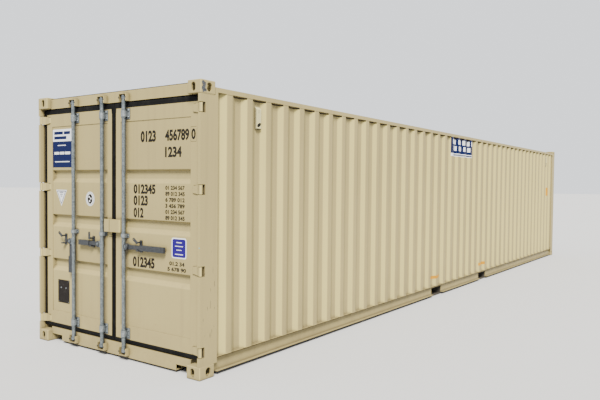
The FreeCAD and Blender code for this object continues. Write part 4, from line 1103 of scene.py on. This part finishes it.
class CONTAINER_OT_door_signs(bpy.types.Operator):
    """Stick the plain signs and stickers to the doors"""
    bl_idname = "container.door_signs"
    bl_label = "Door signs"

    def execute(self, context):
        layers = {"blue": [], "white": [], "ink": []}
        layers["white"].append(panel_film(rounded([-1.043, 2.128], [-0.702, 2.255], 0.004)))
        layers["blue"].append(panel_film(rounded([-1.043, 1.855], [-0.702, 2.128], 0.004)))
        for outline in bars([(-1.02, -0.86, 2.200, 2.232), (-0.845, -0.735, 2.200, 2.232),
                             (-1.02, -0.80, 2.150, 2.182)]):
            layers["blue"].append(panel_film(outline, 2))
        for outline in bars([(-0.955, -0.81, 2.082, 2.090), (-1.015, -0.93, 1.992, 2.018),
                             (-0.918, -0.84, 1.992, 2.018), (-0.828, -0.735, 1.992, 2.018),
                             (-1.005, -0.745, 1.911, 1.920)]):
            layers["white"].append(panel_film(outline, 2))
        triangle = np.array([[-0.985, 1.620], [-0.795, 1.620], [-0.890, 1.450]])
        centre = triangle.mean(0)
        layers["white"].append(panel_film(triangle))
        layers["blue"].append(panel_film(centre + (triangle - centre) * 0.84, 2))
        layers["white"].append(panel_film(centre + (triangle - centre) * 0.70, 3))
        for outline in bars([(-0.925, -0.855, 1.590, 1.598), (-0.915, -0.865, 1.570, 1.578),
                             (-0.905, -0.875, 1.550, 1.558)]):
            layers["blue"].append(panel_film(outline, 4))
        angle = np.linspace(0, 2 * np.pi, 48, endpoint=False)
        ring = np.stack([np.cos(angle), np.sin(angle)], -1)
        middle = np.array([-0.398, 1.535])
        for step, (finish, size) in enumerate((("white", (0.070, 0.072)), ("blue", (0.062, 0.064)),
                                               ("white", (0.058, 0.060)), ("ink", (0.040, 0.050)))):
            layers[finish].append(panel_film(middle + ring * size, step + 1))
        layers["white"] += [panel_film(middle + [dx, dz] + ring * 0.010, 5)
                            for dx, dz in ((-0.014, 0.020), (0.014, 0.004), (-0.008, -0.022))]
        for finish, pieces in layers.items():
            make("left_sign_" + finish, pieces, finish, body="left_door", crease=20)
        border = rounded([0.800, 1.030], [0.990, 1.215], 0.022)
        face = rounded([0.811, 1.041], [0.979, 1.204], 0.016)
        white = [panel_film(border)]
        white += [panel_film(outline, 3) for outline in bars([
            (0.862, 0.930, 1.170, 1.177), (0.845, 0.947, 1.137, 1.143), (0.862, 0.930, 1.103, 1.109),
            (0.845, 0.947, 1.064, 1.071)])]
        make("right_sticker_white", white, "white", body="right_door", crease=20)
        make("right_sticker_violet", [panel_film(face, 2)], "violet", body="right_door", crease=20)
        return {"FINISHED"}


class CONTAINER_OT_numerals(bpy.types.Operator):
    """Paint plain numerals on the right-hand door"""
    bl_idname = "container.numerals"
    bl_label = "Numerals"

    def execute(self, context):
        m = context.scene.container_marks
        large = [(m.serial, 0.375, 0.585, 2.080, 2.185), ("456789", 0.710, 1.020, 2.080, 2.185),
                 ("0", 1.052, 1.104, 2.085, 2.180), ("1234", 0.710, 0.925, 1.935, 2.030),
                 ("012345", 0.275, 0.580, 1.600, 1.690), ("0123", 0.275, 0.475, 1.490, 1.585),
                 ("012", 0.275, 0.415, 1.375, 1.470), ("012345", 0.265, 0.570, 0.910, 1.008)]
        pieces = [numerals(text, (x0, z0), (x1, z1), PANEL_FACE, 0.040)
                  for text, x0, x1, z0, z1 in large if x1 < PANELS["right"][1][0]]
        stile = [numerals(text, (x0, z0), (x1, z1), LEAF_FACE, 0.040)
                 for text, x0, x1, z0, z1 in large if x1 >= PANELS["right"][1][0]]
        rows = ("01 234 567", "89 012 345", " 6 789 012", " 3 456 789", "01 234 567", "89 012 345")
        for i, row in enumerate(rows):
            z = 1.642 - 0.0545 * i
            pieces.append(numerals(row, (0.715, z), (0.965, z + 0.038), PANEL_FACE, 0.032))
        pieces.append(numerals("01.2 34", (0.770, 0.962), (0.965, 0.998), PANEL_FACE, 0.032))
        pieces.append(numerals("5 678 90", (0.745, 0.910), (0.985, 0.946), PANEL_FACE, 0.032))
        frame_outer = rounded([1.046, 2.068], [1.112, 2.196], 0.002)
        edge = np.concatenate([frame_outer, frame_outer[:1]])
        path = spread(edge[:, 0], LEAF_FACE - 0.0001, edge[:, 1])
        stile.append(tube(path, 0.0012, TO_DOORS, 4))
        make("numerals", pieces + stile, "ink", body="right_door", crease=20)
        return {"FINISHED"}


class CONTAINER_OT_plate_details(bpy.types.Operator):
    """Rivet the data plate and the vents, emboss the plate's rows, and paint shade into the vents' openings
    """
    bl_idname = "container.plate_details"
    bl_label = "Plates and vents"

    def execute(self, context):
        f = context.scene.container_fixings
        low, high = limits("data_plate")
        rivets = [[low[0] + dx, low[1], low[2] + 0.157] for dx in (0.055, 0.140)]
        corners = [[x, low[1], z] for x in (low[0] + 0.010, high[0] - 0.010)
                   for z in (low[2] + 0.010, high[2] - 0.010)]
        make("plate_rivets",
             rivet_heads(rivets, TO_DOORS, 0.009, 0.004) + rivet_heads(corners, TO_DOORS, 0.004, 0.002),
             "zinc", body="left_door")
        rows = []
        for i in range(6):
            z = low[2] + 0.020 + 0.019 * i
            rows += [(low[0] + 0.018, low[0] + 0.085, z, z + 0.007),
                     (low[0] + 0.095, high[0] - 0.018, z, z + 0.007)]
        for i in range(3):
            z = low[2] + 0.180 + 0.017 * i
            rows.append((low[0] + 0.030, high[0] - 0.030, z, z + 0.006))
        make("plate_rows", [plate(outline, low[1], 0.0006, TO_DOORS) for outline in bars(rows)],
             "plate_metal", body="left_door")
        vents_low, vents_high = limits("vents")
        rivets, slot_shades, lip_shades = [], [], []
        for side in (-1, 1):
            for y in (vents_low[1] + 0.035, vents_high[1] - 0.035):
                face = side * vents_high[0]
                for dz in (0.038, 0.054):
                    rivets.append([face, y, vents_high[2] - dz])
                # Painted shade: a dark oval for each vent's opening, and a dark strip along the vent's lower
                # edge.
                tilt = np.linspace(0, 2 * np.pi, 32, endpoint=False)
                shape = np.stack([0.023 * np.cos(tilt) + 0.015 * np.sin(tilt), 0.021 * np.sin(tilt)], -1)
                slot = np.array([y + 0.004, vents_low[2] + 0.038]) + shape
                slot_shades.append(plate(slot, face, 0.0006, (side, 0, 0)))
                lip = rounded([y - 0.034, vents_low[2] - 0.001], [y + 0.034, vents_low[2] + 0.004], 0.001)
                lip_shades.append(plate(lip, face, 0.0006, (side, 0, 0)))
        heads = []
        for side in (-1, 1):
            mine = [place for place in rivets if place[0] * side > 0]
            heads += rivet_heads(mine, (side, 0, 0), f.rivet_radius * 0.8, 0.0025)
        make("vent_rivets", heads, "dull_zinc")
        make("vent_slots", slot_shades + lip_shades, "dark_hole")
        return {"FINISHED"}


class CONTAINER_OT_floor_boards(bpy.types.Operator):
    """Lay the floor: boards with eased edges in rows, a steel strip down the middle, and rows of screws"""
    bl_idname = "container.floor_boards"
    bl_label = "Floor boards"

    def execute(self, context):
        low, high = limits("floor")
        pieces, seats = [], []
        half = 0.020
        runs = ((low[0], -half), (half, high[0]))
        stops = np.linspace(low[1], high[1], 6)
        for x0, x1 in runs:
            for y0, y1 in zip(stops, stops[1:]):
                gap, ease = 0.001, 0.0015
                heights = np.array([low[2], high[2] - ease, high[2]])
                rings = []
                for inset, z in zip((gap, gap, gap + ease), heights):
                    outline = rounded([x0 + inset, y0 + inset], [x1 - inset, y1 - inset], 0.002, 3)
                    rings.append(np.concatenate([outline, np.full((len(outline), 1), z)], 1))
                count = len(rings[0])
                faces = weave(3, count, close_columns=True).tolist()
                faces += [list(range(count)), list(range(3 * count - 1, 2 * count - 1, -1))]
                pieces.append((np.concatenate(rings), faces))
        make("floor_boards", pieces, "plywood", replaces=["floor"])
        strip = np.array([[-half, low[2]], [half, low[2]], [half, high[2] - 0.001], [-half, high[2] - 0.001]])
        y = np.linspace(low[1], high[1], 5)
        points = spread(strip[:, 0], y[:, None], strip[:, 1]).reshape(-1, 3)
        faces = weave(5, 4, close_columns=True).tolist() + [[0, 1, 2, 3], [19, 18, 17, 16]]
        make("floor_strip", [(points, faces)], "worn_enamel")
        pitch = context.scene.container_fixings.screw_pitch
        rows = np.arange(low[1] + 0.06, high[1] - 0.03, pitch)
        across = np.concatenate([side * np.linspace(0.05, high[0] - 0.03, 6) for side in (-1, 1)])
        grid = np.stack(np.meshgrid(across, rows, indexing="ij"), -1).reshape(-1, 2)
        seats = np.concatenate([grid, np.full((len(grid), 1), high[2])], 1)
        head = capped([[0.0068, 0.0], [0.0062, 0.0007]])
        make("floor_screws", [lathe(head, seats, (0, 0, 1), 10)], "dull_zinc")
        return {"FINISHED"}


class CONTAINER_OT_scrapes(bpy.types.Operator):
    """Add the scraped corner, the scuffs on the post, a thin dark strip along the header's top edge and the
    small spot of paint
    """
    bl_idname = "container.scrapes"
    bl_label = "Scrapes"

    def execute(self, context):
        side = limits("top_corner_fittings")[1][0]
        pieces = [plate(blob([DOOR_END + 0.036, 2.532], (0.050, 0.092), 4), side, 0.00003, (1, 0, 0)),
                  plate(blob([DOOR_END + 0.060, 2.500], (0.020, 0.026), 9), side, 0.00003, (1, 0, 0))]
        make("scraped_corner", pieces, "bare_steel")
        rng = np.random.default_rng(21)
        scuffs = []
        for y, z in zip(rng.uniform(DOOR_END + 0.03, DOOR_END + 0.18, 16), rng.uniform(0.2, 1.15, 16)):
            size = (rng.uniform(0.001, 0.004), rng.uniform(0.012, 0.07))
            scuffs.append(plate(blob([y, z], size, int(z * 900)), POST[1][0], 0.0003, (1, 0, 0)))
        make("post_scuffs", scuffs, "undercoat")
        # A thin dark strip along the header's top edge.
        header = limits("door_header")
        line = rounded([header[0][0] + 0.004, header[1][2] - 0.0052],
                       [header[1][0] - 0.004, header[1][2] - 0.0004], 0.002)
        make("header_sealant", [plate(line, header[0][1], 0.0005, TO_DOORS)], "rubber")
        spot = plate(blob([POST[1][0] - 0.011, 1.150], (0.010, 0.012), 2), POST[0][1], 0.0004, TO_DOORS)
        make("paint_spot", [spot], "spot_blue")
        return {"FINISHED"}


OPERATORS = [
    CONTAINER_OT_stage, CONTAINER_OT_finishes, CONTAINER_OT_side_walls, CONTAINER_OT_front_wall,
    CONTAINER_OT_roof, CONTAINER_OT_door_panels, CONTAINER_OT_seals, CONTAINER_OT_rod_fixings,
    CONTAINER_OT_lock_tab, CONTAINER_OT_welds, CONTAINER_OT_painted_shadow, CONTAINER_OT_wall_signs,
    CONTAINER_OT_door_signs, CONTAINER_OT_numerals, CONTAINER_OT_plate_details,
    CONTAINER_OT_floor_boards, CONTAINER_OT_scrapes,
]


class CONTAINER_PT_panel(bpy.types.Panel):
    """The container's settings and steps"""
    bl_idname = "CONTAINER_PT_panel"
    bl_label = "Container"
    bl_space_type = "VIEW_3D"
    bl_region_type = "UI"
    bl_category = "Container"

    def draw(self, context):
        for name, group in GROUPS.items():
            box = self.layout.box()
            box.label(text=group.__name__)
            for key in group.__annotations__:
                box.prop(getattr(context.scene, name), key)
        for operator in OPERATORS:
            self.layout.operator(operator.bl_idname)


def register():
    for kind in (*GROUPS.values(), *OPERATORS, CONTAINER_PT_panel):
        bpy.utils.register_class(kind)
    for name, group in GROUPS.items():
        setattr(bpy.types.Scene, name, PointerProperty(type=group))


def unregister():
    for name in GROUPS:
        delattr(bpy.types.Scene, name)
    for kind in reversed((*GROUPS.values(), *OPERATORS, CONTAINER_PT_panel)):
        bpy.utils.unregister_class(kind)


def main():
    """Registers the add-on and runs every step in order."""
    register()
    for operator in OPERATORS:
        group, name = operator.bl_idname.split(".")
        getattr(getattr(bpy.ops, group), name)()


if __name__ == "__main__":
    main()
